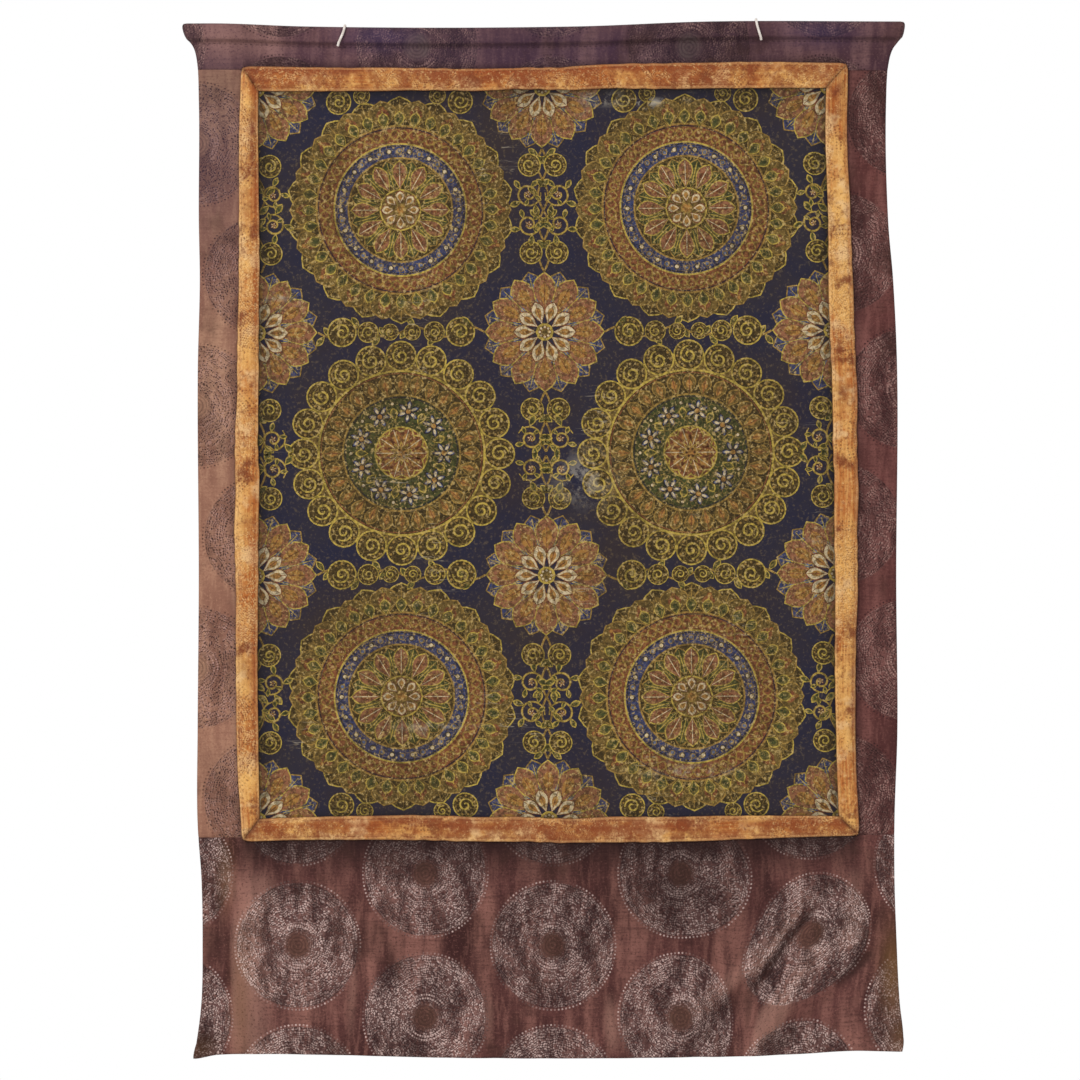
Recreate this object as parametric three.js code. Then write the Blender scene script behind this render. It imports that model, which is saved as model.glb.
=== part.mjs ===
// A thangka scroll painting as it hangs on a wall: a painted canvas inside four padded gold strips,
// on a mount of four brocade panels. The top panel is wrapped into a sleeve, with two cords round it.
// Millimetres, +Z up. The front faces -Y, and the origin is the middle of the top edge.

import * as THREE from "three";

// Cloth thicknesses, gaps and laps
const BROCADE_THICKNESS = 1.5;
const CANVAS_THICKNESS = 1.2;
const STRIP_CROWN = 2.6;
const STRIP_RIM = 1.3;
const STRIP_SQUARENESS = 4;
const STRIP_GAP = 0.5;
const SEAM_GAP = 0.4;
const MITRE_GAP = 0.3;
const SEWN_LAP = 4;
const HEM_HEIGHT = 12;
const HEM_EXTRA = 1.4;

// How the cloth stands off the wall: its front near the sleeve, and how far its lower end comes forward
const FRONT_AT_SLEEVE = 1;
const LOWER_STAND_OFF = 4.5;
const STAND_OFF_FROM = 560;
const STAND_OFF_TO = 880;
const RIPPLE_HEIGHT = 0.8;
const RIPPLE_ACROSS = 95;
const RIPPLE_DOWN = 130;
const RIPPLE_PHASE = 1;

// Grid cells of each cloth solid. The top panel's rows are those below its sleeve.
const CELLS = {
  painting: { across: 14, down: 16 },
  top: { across: 28, down: 3 },
  side: { across: 4, down: 28 },
  bottom: { across: 50, down: 18 },
  strip: { across: 6, along: 26 },
};

// Side edges of the whole hanging at a drop below the top edge
const OUTLINE = [
  { drop: -5, left: -360, right: 359 },
  { drop: 3, left: -359, right: 358 },
  { drop: 13, left: -355, right: 355 },
  { drop: 21, left: -350, right: 349 },
  { drop: 33, left: -347, right: 345 },
  { drop: 73, left: -345, right: 342 },
  { drop: 193, left: -345, right: 344 },
  { drop: 253, left: -344, right: 349 },
  { drop: 343, left: -346, right: 353 },
  { drop: 553, left: -345, right: 352 },
  { drop: 703, left: -346, right: 353 },
  { drop: 793, left: -346, right: 350 },
  { drop: 853, left: -342, right: 350 },
  { drop: 913, left: -341, right: 352 },
  { drop: 973, left: -342, right: 355 },
  { drop: 1015, left: -347, right: 359 },
  { drop: 1031, left: -350, right: 357 },
];

// Drop of the top edge, the two panel seams and the bottom edge, across the width
const TOP_EDGE = [
  { x: -360, drop: -3 },
  { x: -320, drop: -3 },
  { x: -239, drop: 0 },
  { x: 31, drop: 0 },
  { x: 166, drop: -5 },
  { x: 359, drop: -5 },
];
const TOP_SEAM = [
  { x: -346, drop: 42.3 },
  { x: 344, drop: 43 },
];
const BOTTOM_SEAM = [
  { x: -346, drop: 810.5 },
  { x: 350, drop: 807.7 },
];
const BOTTOM_EDGE = [
  { x: -350, drop: 1031 },
  { x: -324, drop: 1027 },
  { x: -224, drop: 1027 },
  { x: -89, drop: 1030 },
  { x: 91, drop: 1030 },
  { x: 241, drop: 1027 },
  { x: 310, drop: 1023 },
  { x: 357, drop: 1024 },
];

// Edges of the gold strips: the upright ones by drop, the level ones by x
const LEFT_STRIP = [
  { drop: 36, outer: -303, inner: -285.5 },
  { drop: 113, outer: -305, inner: -286 },
  { drop: 253, outer: -305, inner: -284.5 },
  { drop: 393, outer: -308, inner: -286 },
  { drop: 463, outer: -309, inner: -285 },
  { drop: 603, outer: -308, inner: -286.5 },
  { drop: 743, outer: -306, inner: -285 },
  { drop: 816, outer: -302, inner: -284 },
];
const RIGHT_STRIP = [
  { drop: 36, outer: 304, inner: 282.5 },
  { drop: 113, outer: 303, inner: 281.5 },
  { drop: 183, outer: 306, inner: 284 },
  { drop: 253, outer: 309, inner: 285 },
  { drop: 393, outer: 313, inner: 289 },
  { drop: 533, outer: 313.5, inner: 291 },
  { drop: 638, outer: 311.5, inner: 291 },
  { drop: 743, outer: 312, inner: 293 },
  { drop: 816, outer: 315, inner: 295 },
];
const TOP_STRIP = [
  { x: -303, outer: 39.5, inner: 64 },
  { x: -184, outer: 41, inner: 64 },
  { x: -4, outer: 41, inner: 62.5 },
  { x: 56, outer: 38, inner: 62 },
  { x: 206, outer: 35, inner: 61 },
  { x: 304, outer: 36, inner: 61 },
];
const BOTTOM_STRIP = [
  { x: -302, outer: 814, inner: 792 },
  { x: -244, outer: 812.5, inner: 790 },
  { x: -124, outer: 813, inner: 788.5 },
  { x: 26, outer: 815, inner: 791 },
  { x: 86, outer: 815, inner: 790 },
  { x: 206, outer: 811.5, inner: 788.5 },
  { x: 315, outer: 808.5, inner: 789 },
];

// Section of the sleeve below the top edge: front and back of the cloth wrapped round its batten
const SLEEVE = [
  { below: 0, front: -1.2, back: 1.2 },
  { below: 0.8, front: -2.6, back: 2.6 },
  { below: 2.4, front: -4, back: 4 },
  { below: 4.5, front: -4.5, back: 4.5 },
  { below: 13.5, front: -4.5, back: 4.5 },
  { below: 15.5, front: -3.6, back: 4.1 },
  { below: 17.2, front: -0.6, back: 3.3 },
  { below: 18.8, front: 1.3, back: 2.8 },
];

// Folds of the lower panel: a soft ridge (rise above 0, to the front) or trough along two straight runs
const FOLDS = [
  { from: [-282, 858], bend: [-304, 918], to: [-288, 1026], halfWidth: 16, rise: 5 },
  { from: [-329, 843], bend: [-331, 930], to: [-334, 1030], halfWidth: 11, rise: -4 },
  { from: [-176, 888], bend: [-177, 940], to: [-181, 985], halfWidth: 10, rise: -2.5 },
  { from: [-47, 920], bend: [-47, 970], to: [-47, 1030], halfWidth: 10, rise: -2.5 },
  { from: [64, 923], bend: [54, 938], to: [44, 952], halfWidth: 9, rise: 2.5 },
  { from: [262, 872], bend: [208, 938], to: [158, 978], halfWidth: 13, rise: 4.5 },
  { from: [282, 868], bend: [222, 947], to: [152, 1020], halfWidth: 11, rise: -5 },
  { from: [270, 925], bend: [240, 968], to: [212, 1015], halfWidth: 12, rise: 5 },
  { from: [322, 930], bend: [278, 978], to: [236, 1018], halfWidth: 12, rise: -5 },
  { from: [309, 850], bend: [310, 885], to: [306, 912], halfWidth: 12, rise: 4 },
];

// Where each cord comes out of the cloth below the sleeve, and where it crosses the top edge
const CORDS = {
  hanging_cord_left: { pierceX: -206, crossX: -199 },
  hanging_cord_right: { pierceX: 217, crossX: 212 },
};
const CORD_DIAMETER = 2.6;
const CORD_SIDES = 8;
const CORD_STEPS = 20;

// A cord's route from its pierced hole up the front, over the top edge and down the back of the sleeve:
// share of the way across to the crossing, depth, and drop below the top edge
const CORD_ROUTE = [
  { across: 0, depth: -3.4, below: 18.6 },
  { across: 0.12, depth: -5.2, below: 15.8 },
  { across: 0.35, depth: -6.3, below: 12.4 },
  { across: 0.6, depth: -6.5, below: 8.4 },
  { across: 0.82, depth: -6.5, below: 4.5 },
  { across: 0.95, depth: -5.2, below: 0.6 },
  { across: 1, depth: -2.5, below: -1.5 },
  { across: 1, depth: 0, below: -2 },
  { across: 1, depth: 2.5, below: -1.5 },
  { across: 1, depth: 5.2, below: 0.6 },
  { across: 1, depth: 6.5, below: 4.5 },
  { across: 1, depth: 6.5, below: 8.4 },
  { across: 1, depth: 6.5, below: 12.4 },
  { across: 1, depth: 6.1, below: 15.8 },
  { across: 1, depth: 5.4, below: 18.6 },
];

const MATERIALS = {
  brocade: { color: 0x6f4f4b, roughness: 0.8, metalness: 0 },
  gold: { color: 0xbb8452, roughness: 0.6, metalness: 0 },
  canvas: { color: 0x4a4438, roughness: 0.75, metalness: 0 },
  cord: { color: 0xd9cdc4, roughness: 0.9, metalness: 0 },
};

const { lerp, smoothstep } = THREE.MathUtils;

// One column of a table as a smooth curve through its rows.
function tableCurve(rows, key, column) {
  const places = rows.map((row) => row[key]);
  const values = rows.map((row) => row[column]);
  const spline = new THREE.CubicInterpolant(places, values, 1);
  return (at) => spline.evaluate(at)[0];
}

const leftEdge = tableCurve(OUTLINE, "drop", "left");
const rightEdge = tableCurve(OUTLINE, "drop", "right");
const topEdge = tableCurve(TOP_EDGE, "x", "drop");
const bottomEdge = tableCurve(BOTTOM_EDGE, "x", "drop");
const stripEdges = (rows, key) => ({
  outer: tableCurve(rows, key, "outer"),
  inner: tableCurve(rows, key, "inner"),
  start: rows[0][key],
  end: rows[rows.length - 1][key],
});
const strips = {
  left: stripEdges(LEFT_STRIP, "drop"),
  right: stripEdges(RIGHT_STRIP, "drop"),
  top: stripEdges(TOP_STRIP, "x"),
  bottom: stripEdges(BOTTOM_STRIP, "x"),
};

// A seam is straight from one side edge to the other.
function seamAt(rows, x) {
  const [start, end] = rows;
  return lerp(start.drop, end.drop, (x - start.x) / (end.x - start.x));
}

// Distance in the hanging plane from a point to the two straight runs of a fold.
function distanceToFold(x, drop, fold) {
  const point = new THREE.Vector3(x, drop, 0);
  const corners = [fold.from, fold.bend, fold.to].map(([cx, cd]) => new THREE.Vector3(cx, cd, 0));
  const nearest = new THREE.Vector3();
  const runs = [new THREE.Line3(corners[0], corners[1]), new THREE.Line3(corners[1], corners[2])];
  return Math.min(...runs.map((run) => run.closestPointToPoint(point, true, nearest).distanceTo(point)));
}

// Depth of the cloth's front at a place in the hanging plane.
function hang(x, drop) {
  const standOff = LOWER_STAND_OFF * smoothstep(drop, STAND_OFF_FROM, STAND_OFF_TO);
  const ripple = RIPPLE_HEIGHT * Math.sin(x / RIPPLE_ACROSS + RIPPLE_PHASE) * Math.sin(drop / RIPPLE_DOWN);
  let folded = 0;
  for (const fold of FOLDS) {
    const away = distanceToFold(x, drop, fold) / fold.halfWidth;
    folded += fold.rise * Math.exp(-away * away);
  }
  return FRONT_AT_SLEEVE - standOff - ripple - folded;
}

// A closed sheet from a grid: place(i, j) gives x, drop and the front and back depth of a grid point.
function clothSolid(across, down, place) {
  const positions = [];
  const faces = [];
  const columns = across + 1;
  const layer = columns * (down + 1);
  const points = [];
  for (let j = 0; j <= down; j++) {
    for (let i = 0; i <= across; i++) points.push(place(i, j));
  }
  for (const point of points) positions.push(point.x, point.front, -point.drop);
  for (const point of points) positions.push(point.x, point.back, -point.drop);
  for (let j = 0; j < down; j++) {
    for (let i = 0; i < across; i++) {
      const a = j * columns + i;
      const b = a + 1;
      const c = a + columns;
      const d = c + 1;
      faces.push(a, c, b, b, c, d);
      faces.push(layer + a, layer + b, layer + c, layer + b, layer + d, layer + c);
    }
  }
  const rim = [];
  for (let i = 0; i < across; i++) rim.push(i);
  for (let j = 0; j < down; j++) rim.push(j * columns + across);
  for (let i = across; i > 0; i--) rim.push(down * columns + i);
  for (let j = down; j > 0; j--) rim.push(j * columns);
  rim.forEach((p, k) => {
    const q = rim[(k + 1) % rim.length];
    faces.push(p, q, layer + q, p, layer + q, layer + p);
  });
  const geometry = new THREE.BufferGeometry();
  geometry.setAttribute("position", new THREE.Float32BufferAttribute(positions, 3));
  geometry.setIndex(faces);
  geometry.computeVertexNormals();
  return geometry;
}

function addPiece(group, name, geometry, finish) {
  const mesh = new THREE.Mesh(geometry, new THREE.MeshStandardMaterial(MATERIALS[finish]));
  mesh.name = name;
  group.add(mesh);
}

// The canvas reaches a lap behind the strips on all four sides.
function paintingSolid() {
  const { across, down } = CELLS.painting;
  return clothSolid(across, down, (i, j) => {
    const guess = lerp(strips.left.inner(0), strips.right.inner(0), i / across);
    const upper = strips.top.inner(guess) - SEWN_LAP;
    const lower = strips.bottom.inner(guess) + SEWN_LAP;
    const drop = lerp(upper, lower, j / down);
    const x = lerp(strips.left.inner(drop) - SEWN_LAP, strips.right.inner(drop) + SEWN_LAP, i / across);
    const front = hang(x, drop);
    return { x, drop, front, back: front + CANVAS_THICKNESS };
  });
}

// The top panel: the sleeve's section, then a plain sheet down to the seam.
function topPanelSolid() {
  const { across, down } = CELLS.top;
  const creaseRow = SLEEVE.length - 1;
  return clothSolid(across, creaseRow + down, (i, j) => {
    const guess = lerp(OUTLINE[0].left, OUTLINE[0].right, i / across);
    if (j <= creaseRow) {
      const drop = topEdge(guess) + SLEEVE[j].below;
      return { x: lerp(leftEdge(drop), rightEdge(drop), i / across), drop, ...SLEEVE[j] };
    }
    const crease = topEdge(guess) + SLEEVE[creaseRow].below;
    const drop = lerp(crease, seamAt(TOP_SEAM, guess), (j - creaseRow) / down);
    const x = lerp(leftEdge(drop), rightEdge(drop), i / across);
    const front = hang(x, drop);
    return { x, drop, front, back: front + BROCADE_THICKNESS };
  });
}

// A side panel runs from its outer edge to a lap behind its gold strip, between the two seams.
function sidePanelSolid(side) {
  const { across, down } = CELLS.side;
  const isLeft = side === "left";
  return clothSolid(across, down, (i, j) => {
    const edgeX = isLeft ? TOP_SEAM[0].x : TOP_SEAM[1].x;
    const upper = seamAt(TOP_SEAM, edgeX) + SEAM_GAP;
    const lower = seamAt(BOTTOM_SEAM, edgeX) - SEAM_GAP;
    const drop = lerp(upper, lower, j / down);
    const sewn = strips[side].outer(drop) + (isLeft ? SEWN_LAP : -SEWN_LAP);
    const x = isLeft ? lerp(leftEdge(drop), sewn, i / across) : lerp(sewn, rightEdge(drop), i / across);
    const front = hang(x, drop);
    return { x, drop, front, back: front + BROCADE_THICKNESS };
  });
}

// The bottom panel, with its folds and a turned hem that thickens its lowest rows to the back.
function bottomPanelSolid() {
  const { across, down } = CELLS.bottom;
  const hemRow = down - 1;
  return clothSolid(across, down, (i, j) => {
    const guess = lerp(BOTTOM_EDGE[0].x, BOTTOM_EDGE[BOTTOM_EDGE.length - 1].x, i / across);
    const hemTop = bottomEdge(guess) - HEM_HEIGHT;
    const inHem = j >= hemRow;
    const seam = seamAt(BOTTOM_SEAM, guess);
    const drop = inHem ? hemTop + HEM_HEIGHT * (j - hemRow) : lerp(seam, hemTop, j / hemRow);
    const x = lerp(leftEdge(drop), rightEdge(drop), i / across);
    const front = hang(x, drop);
    return { x, drop, front, back: front + BROCADE_THICKNESS + (inHem ? HEM_EXTRA : 0) };
  });
}

// A gold strip lies in front of the cloth, crowned across its width, and ends at its mitres.
function stripSolid(side) {
  const { along, across } = CELLS.strip;
  const upright = side === "left" || side === "right";
  const edges = strips[side];
  const [before, after] = upright ? [strips.top, strips.bottom] : [strips.left, strips.right];
  const ends = (edge) => [
    before[edge](edges[edge](edges.start)) + MITRE_GAP,
    after[edge](edges[edge](edges.end)) - MITRE_GAP,
  ];
  const outerEnds = ends("outer");
  const innerEnds = ends("inner");
  const outerFirst = side === "left" || side === "top";
  const place = (alongShare, acrossShare) => {
    const innerShare = outerFirst ? acrossShare : 1 - acrossShare;
    const outerAt = lerp(outerEnds[0], outerEnds[1], alongShare);
    const innerAt = lerp(innerEnds[0], innerEnds[1], alongShare);
    const at = lerp(outerAt, innerAt, innerShare);
    const off = lerp(edges.outer(outerAt), edges.inner(innerAt), innerShare);
    const x = upright ? off : at;
    const drop = upright ? at : off;
    const crown = 1 - (2 * acrossShare - 1) ** STRIP_SQUARENESS;
    const back = hang(x, drop) - STRIP_GAP;
    return { x, drop, front: back - lerp(STRIP_RIM, STRIP_CROWN, crown), back };
  };
  if (upright) return clothSolid(across, along, (i, j) => place(j / along, i / across));
  return clothSolid(along, across, (i, j) => place(i / along, j / across));
}

// A cord follows its route as a round tube.
function cordSolid({ pierceX, crossX }) {
  const top = -topEdge(crossX);
  const points = CORD_ROUTE.map(
    ({ across, depth, below }) => new THREE.Vector3(lerp(pierceX, crossX, across), depth, top - below),
  );
  const section = new THREE.Shape();
  section.absarc(0, 0, CORD_DIAMETER / 2, 0, 2 * Math.PI);
  return new THREE.ExtrudeGeometry(section, {
    extrudePath: new THREE.CatmullRomCurve3(points),
    steps: CORD_STEPS,
    curveSegments: CORD_SIDES / 2,
  });
}

const thangka = new THREE.Group();
addPiece(thangka, "painting", paintingSolid(), "canvas");
addPiece(thangka, "brocade_top", topPanelSolid(), "brocade");
addPiece(thangka, "brocade_bottom", bottomPanelSolid(), "brocade");
for (const side of ["left", "right"]) addPiece(thangka, "brocade_" + side, sidePanelSolid(side), "brocade");
for (const side of Object.keys(strips)) addPiece(thangka, "border_" + side, stripSolid(side), "gold");
for (const [name, cord] of Object.entries(CORDS)) addPiece(thangka, name, cordSolid(cord), "cord");

export default thangka;
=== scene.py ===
"""A thangka scroll painting as it hangs: painted canvas, padded gold silk strips and a brocade mount."""

import math
from collections import namedtuple

import bmesh
import bpy
import numpy as np
from mathutils import Matrix, Vector


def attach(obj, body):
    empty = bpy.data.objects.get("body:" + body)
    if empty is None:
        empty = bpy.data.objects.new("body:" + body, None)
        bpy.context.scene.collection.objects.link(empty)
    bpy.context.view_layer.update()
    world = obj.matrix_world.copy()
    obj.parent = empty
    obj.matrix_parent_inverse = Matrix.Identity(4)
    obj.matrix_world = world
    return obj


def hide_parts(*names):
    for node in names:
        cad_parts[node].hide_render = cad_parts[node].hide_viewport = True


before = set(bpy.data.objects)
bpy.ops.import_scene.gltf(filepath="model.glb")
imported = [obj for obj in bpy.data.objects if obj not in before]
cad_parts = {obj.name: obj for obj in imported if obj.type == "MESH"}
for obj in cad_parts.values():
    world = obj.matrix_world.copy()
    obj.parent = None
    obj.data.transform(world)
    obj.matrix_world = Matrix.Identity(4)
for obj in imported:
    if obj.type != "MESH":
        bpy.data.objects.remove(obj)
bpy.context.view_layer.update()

MM = 0.001

# Cloth thicknesses, gaps and laps, in millimetres as in the part's source
BROCADE_THICKNESS = 1.5
CANVAS_THICKNESS = 1.2
STRIP_CROWN = 2.6
STRIP_RIM = 1.3
STRIP_SQUARENESS = 4
STRIP_GAP = 0.5
SEAM_GAP = 0.4
MITRE_GAP = 0.3
SEWN_LAP = 4
HEM_HEIGHT = 12
HEM_EXTRA = 1.4

# How the cloth stands off the wall, and its slow ripple
FRONT_AT_SLEEVE = 1
LOWER_STAND_OFF = 4.5
STAND_OFF_FROM = 560
STAND_OFF_TO = 880
RIPPLE_HEIGHT = 0.8
RIPPLE_ACROSS = 95
RIPPLE_DOWN = 130
RIPPLE_PHASE = 1

# Side edges of the whole hanging at a drop below the top edge
OUTLINE = {
    "drop": (-5, 3, 13, 21, 33, 73, 193, 253, 343, 553, 703, 793, 853, 913, 973, 1015, 1031),
    "left": (
        -360, -359, -355, -350, -347, -345, -345, -344, -346, -345, -346, -346, -342, -341, -342, -347, -350,
    ),
    "right": (359, 358, 355, 349, 345, 342, 344, 349, 353, 352, 353, 350, 350, 352, 355, 359, 357),
}

# Drop of the top edge, the two panel seams and the bottom edge, across the width
TOP_EDGE = {"x": (-360, -320, -239, 31, 166, 359), "drop": (-3, -3, 0, 0, -5, -5)}
TOP_SEAM = {"x": (-346, 344), "drop": (42.3, 43)}
BOTTOM_SEAM = {"x": (-346, 350), "drop": (810.5, 807.7)}
BOTTOM_EDGE = {
    "x": (-350, -324, -224, -89, 91, 241, 310, 357),
    "drop": (1031, 1027, 1027, 1030, 1030, 1027, 1023, 1024),
}

# Edges of the gold strips: the upright ones by drop, the level ones by x
STRIPS = {
    "left": {
        "at": (36, 113, 253, 393, 463, 603, 743, 816),
        "outer": (-303, -305, -305, -308, -309, -308, -306, -302),
        "inner": (-285.5, -286, -284.5, -286, -285, -286.5, -285, -284),
    },
    "right": {
        "at": (36, 113, 183, 253, 393, 533, 638, 743, 816),
        "outer": (304, 303, 306, 309, 313, 313.5, 311.5, 312, 315),
        "inner": (282.5, 281.5, 284, 285, 289, 291, 291, 293, 295),
    },
    "top": {
        "at": (-303, -184, -4, 56, 206, 304),
        "outer": (39.5, 41, 41, 38, 35, 36),
        "inner": (64, 64, 62.5, 62, 61, 61),
    },
    "bottom": {
        "at": (-302, -244, -124, 26, 86, 206, 315),
        "outer": (814, 812.5, 813, 815, 815, 811.5, 808.5),
        "inner": (792, 790, 788.5, 791, 790, 788.5, 789),
    },
}

UPRIGHT_SIDES = ("left", "right")

# Section of the sleeve below the top edge
SLEEVE = {
    "below": (0, 0.8, 2.4, 4.5, 13.5, 15.5, 17.2, 18.8),
    "front": (-1.2, -2.6, -4, -4.5, -4.5, -3.6, -0.6, 1.3),
    "back": (1.2, 2.6, 4, 4.5, 4.5, 4.1, 3.3, 2.8),
}

# Folds of the lower panel: a ridge (rise above 0, to the front) or trough along two straight runs
Fold = namedtuple("Fold", "start bend end half_width rise")
FOLDS = (
    Fold((-282, 858), (-304, 918), (-288, 1026), 16, 5),
    Fold((-329, 843), (-331, 930), (-334, 1030), 11, -4),
    Fold((-176, 888), (-177, 940), (-181, 985), 10, -2.5),
    Fold((-47, 920), (-47, 970), (-47, 1030), 10, -2.5),
    Fold((64, 923), (54, 938), (44, 952), 9, 2.5),
    Fold((262, 872), (208, 938), (158, 978), 13, 4.5),
    Fold((282, 868), (222, 947), (152, 1020), 11, -5),
    Fold((270, 925), (240, 968), (212, 1015), 12, 5),
    Fold((322, 930), (278, 978), (236, 1018), 12, -5),
    Fold((309, 850), (310, 885), (306, 912), 12, 4),
)

# Sharper creases that ride on those folds
CREASES = (
    Fold((276, 872), (245, 909), (206, 967), 4, -2.2),
    Fold((262, 878), (229, 924), (205, 955), 5, 2),
    Fold((207, 962), (204, 990), (202, 1022), 5, -1.8),
    Fold((240, 966), (230, 990), (218, 1020), 13, 1.5),
    Fold((334, 920), (315, 937), (288, 962), 5, -1.8),
    Fold((-248, 848), (-247, 870), (-245, 896), 9, -1.2),
    Fold((-184, 915), (-191, 970), (-195, 1025), 6, 0.8),
    Fold((-53, 955), (-53, 990), (-53, 1027), 6, 0.8),
    Fold((64, 960), (66, 1000), (68, 1028), 6, 1),
    Fold((-316, 850), (-318, 930), (-314, 1025), 4, -1.2),
)

# Fine wrinkles of the loose cloth: direction in degrees, wave length, height and phase
Wrinkle = namedtuple("Wrinkle", "turn wave height phase")
WRINKLES = (
    Wrinkle(12, 47, 0.32, 0.4),
    Wrinkle(-8, 31, 0.22, 2.1),
    Wrinkle(55, 63, 0.3, 1.3),
    Wrinkle(97, 82, 0.25, 0.2),
)

# How far a wrinkle bends as it runs, and the reach of its bends as a share of its wave
WRINKLE_BEND = 0.8
WRINKLE_BEND_REACH = 1.7

# Cord: where it comes out below the sleeve and where it crosses the top edge
CORDS = {
    "hanging_cord_left": {"pierce_x": -206, "cross_x": -199},
    "hanging_cord_right": {"pierce_x": 217, "cross_x": 212},
}
CORD_DIAMETER = 2.6
CORD_ROUTE = (
    (0, -3.4, 18.6),
    (0.12, -5.2, 15.8),
    (0.35, -6.3, 12.4),
    (0.6, -6.5, 8.4),
    (0.82, -6.5, 4.5),
    (0.95, -5.2, 0.6),
    (1, -2.5, -1.5),
    (1, 0, -2),
    (1, 2.5, -1.5),
    (1, 5.2, 0.6),
    (1, 6.5, 4.5),
    (1, 6.5, 8.4),
    (1, 6.5, 12.4),
    (1, 6.1, 15.8),
    (1, 5.4, 18.6),
)
CORD_STRANDS = 3
CORD_LAY_LENGTH = 7.5

# The cord's grooves: how near they come to its middle, how full its strands are, and how finely it is divided
CORD_CORE = 0.76
STRAND_ROUNDNESS = 0.6
CORD_SIDES = 24
CORD_STEPS = 120

# Camera: the photo's frame is 1080 mm wide at the cloth, seen square on
FRAME_WIDTH = 1.08
FRAME_CENTRE = Vector((-0.004, 0, -0.513))
CAMERA_DISTANCE = 4.2
SENSOR = 36


def linear(red, green, blue):
    """A colour given in screen values from 0 to 255, as the renderer's own."""
    shares = [channel / 255 for channel in (red, green, blue)]
    bright = [s / 12.92 if s <= 0.04045 else ((s + 0.055) / 1.055) ** 2.4 for s in shares]
    return (*bright, 1.0)


# Curves and the hung surface

def lerp(a, b, share):
    return a + (b - a) * share


def smoothstep(value, low, high):
    share = np.clip((value - low) / (high - low), 0, 1)
    return share * share * (3 - 2 * share)


def smooth_curve(places, values):
    """A curve through a table's rows, level at both ends and constant beyond them."""
    places = np.array(places, float)
    values = np.array(values, float)
    secants = np.diff(values) / np.diff(places)
    slopes = np.concatenate([[0], (secants[:-1] + secants[1:]) / 2, [0]])

    def at(where):
        where = np.clip(where, places[0], places[-1])
        i = np.clip(np.searchsorted(places, where, side="right") - 1, 0, len(places) - 2)
        span = places[i + 1] - places[i]
        p = (where - places[i]) / span
        start = values[i] * (1 + 2 * p) * (1 - p) ** 2 + values[i + 1] * p * p * (3 - 2 * p)
        return start + span * (slopes[i] * p * (1 - p) ** 2 - slopes[i + 1] * p * p * (1 - p))

    return at


def straight(rows, x):
    """Drop of a straight seam at a place across."""
    return lerp(rows["drop"][0], rows["drop"][1], (x - rows["x"][0]) / (rows["x"][1] - rows["x"][0]))


left_edge = smooth_curve(OUTLINE["drop"], OUTLINE["left"])
right_edge = smooth_curve(OUTLINE["drop"], OUTLINE["right"])
top_edge = smooth_curve(TOP_EDGE["x"], TOP_EDGE["drop"])
bottom_edge = smooth_curve(BOTTOM_EDGE["x"], BOTTOM_EDGE["drop"])
sleeve_front = smooth_curve(SLEEVE["below"], SLEEVE["front"])
sleeve_back = smooth_curve(SLEEVE["below"], SLEEVE["back"])
strip_outer = {side: smooth_curve(rows["at"], rows["outer"]) for side, rows in STRIPS.items()}
strip_inner = {side: smooth_curve(rows["at"], rows["inner"]) for side, rows in STRIPS.items()}


def along_run(x, drop, start, end):
    """The share along a straight run, and the distance from it."""
    along = np.subtract(end, start)
    share = ((x - start[0]) * along[0] + (drop - start[1]) * along[1]) / (along @ along)
    share = np.clip(share, 0, 1)
    return share, np.hypot(x - start[0] - share * along[0], drop - start[1] - share * along[1])


def fold_relief(x, drop, folds, tapered=False):
    """How far the folds bring the cloth to the front, in millimetres. Tapered ones run out at both ends."""
    relief = np.zeros(np.shape(x))
    for fold in folds:
        share, near = along_run(x, drop, fold.start, fold.bend)
        lower_share, lower_near = along_run(x, drop, fold.bend, fold.end)
        share = np.where(near < lower_near, share, 1 + lower_share) / 2
        near = np.minimum(near, lower_near)
        height = fold.rise * np.sin(math.pi * share) if tapered else fold.rise
        relief += height * np.exp(-((near / fold.half_width) ** 2))
    return relief


def hang(x, drop):
    """Depth of the cloth's front at a place in the hanging plane."""
    stand_off = LOWER_STAND_OFF * smoothstep(drop, STAND_OFF_FROM, STAND_OFF_TO)
    ripple = RIPPLE_HEIGHT * np.sin(x / RIPPLE_ACROSS + RIPPLE_PHASE) * np.sin(drop / RIPPLE_DOWN)
    return FRONT_AT_SLEEVE - stand_off - ripple - fold_relief(x, drop, FOLDS)


def wrinkle(x, drop):
    """Height of the fine wrinkles, in millimetres."""
    height = np.zeros(np.shape(x))
    for row in WRINKLES:
        turn = math.radians(row.turn)
        along = x * math.cos(turn) + drop * math.sin(turn)
        across = drop * math.cos(turn) - x * math.sin(turn)
        bend = WRINKLE_BEND * np.sin(across / (WRINKLE_BEND_REACH * row.wave) + row.phase)
        height += row.height * np.sin(2 * math.pi * along / row.wave + row.phase + bend)
    return height


# Sheets

# How round a sheet's edge is, as a share of half its thickness
EDGE_ROUND = 0.5

# How finely each sheet is divided
CANVAS_COLUMNS = 100
CANVAS_ROWS = 126
TOP_COLUMNS = 240
SIDE_COLUMNS = 16
SIDE_ROWS = 230
LOWER_COLUMNS = 330
LOWER_ROWS = 104
STRIP_COLUMNS = 26
UPRIGHT_ROWS = 270
LEVEL_ROWS = 210


def add_object(name, data):
    made = bpy.data.objects.new(name, data)
    bpy.context.collection.objects.link(made)
    return made


def plain_mesh(name, shape):
    """A mesh from a bmesh, which is then freed."""
    mesh = bpy.data.meshes.new(name)
    shape.to_mesh(mesh)
    shape.free()
    return mesh


def dress(mesh, material):
    """One material all over a mesh."""
    mesh.materials.clear()
    mesh.materials.append(material)
    mesh.polygons.foreach_set("material_index", [0] * len(mesh.polygons))


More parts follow.
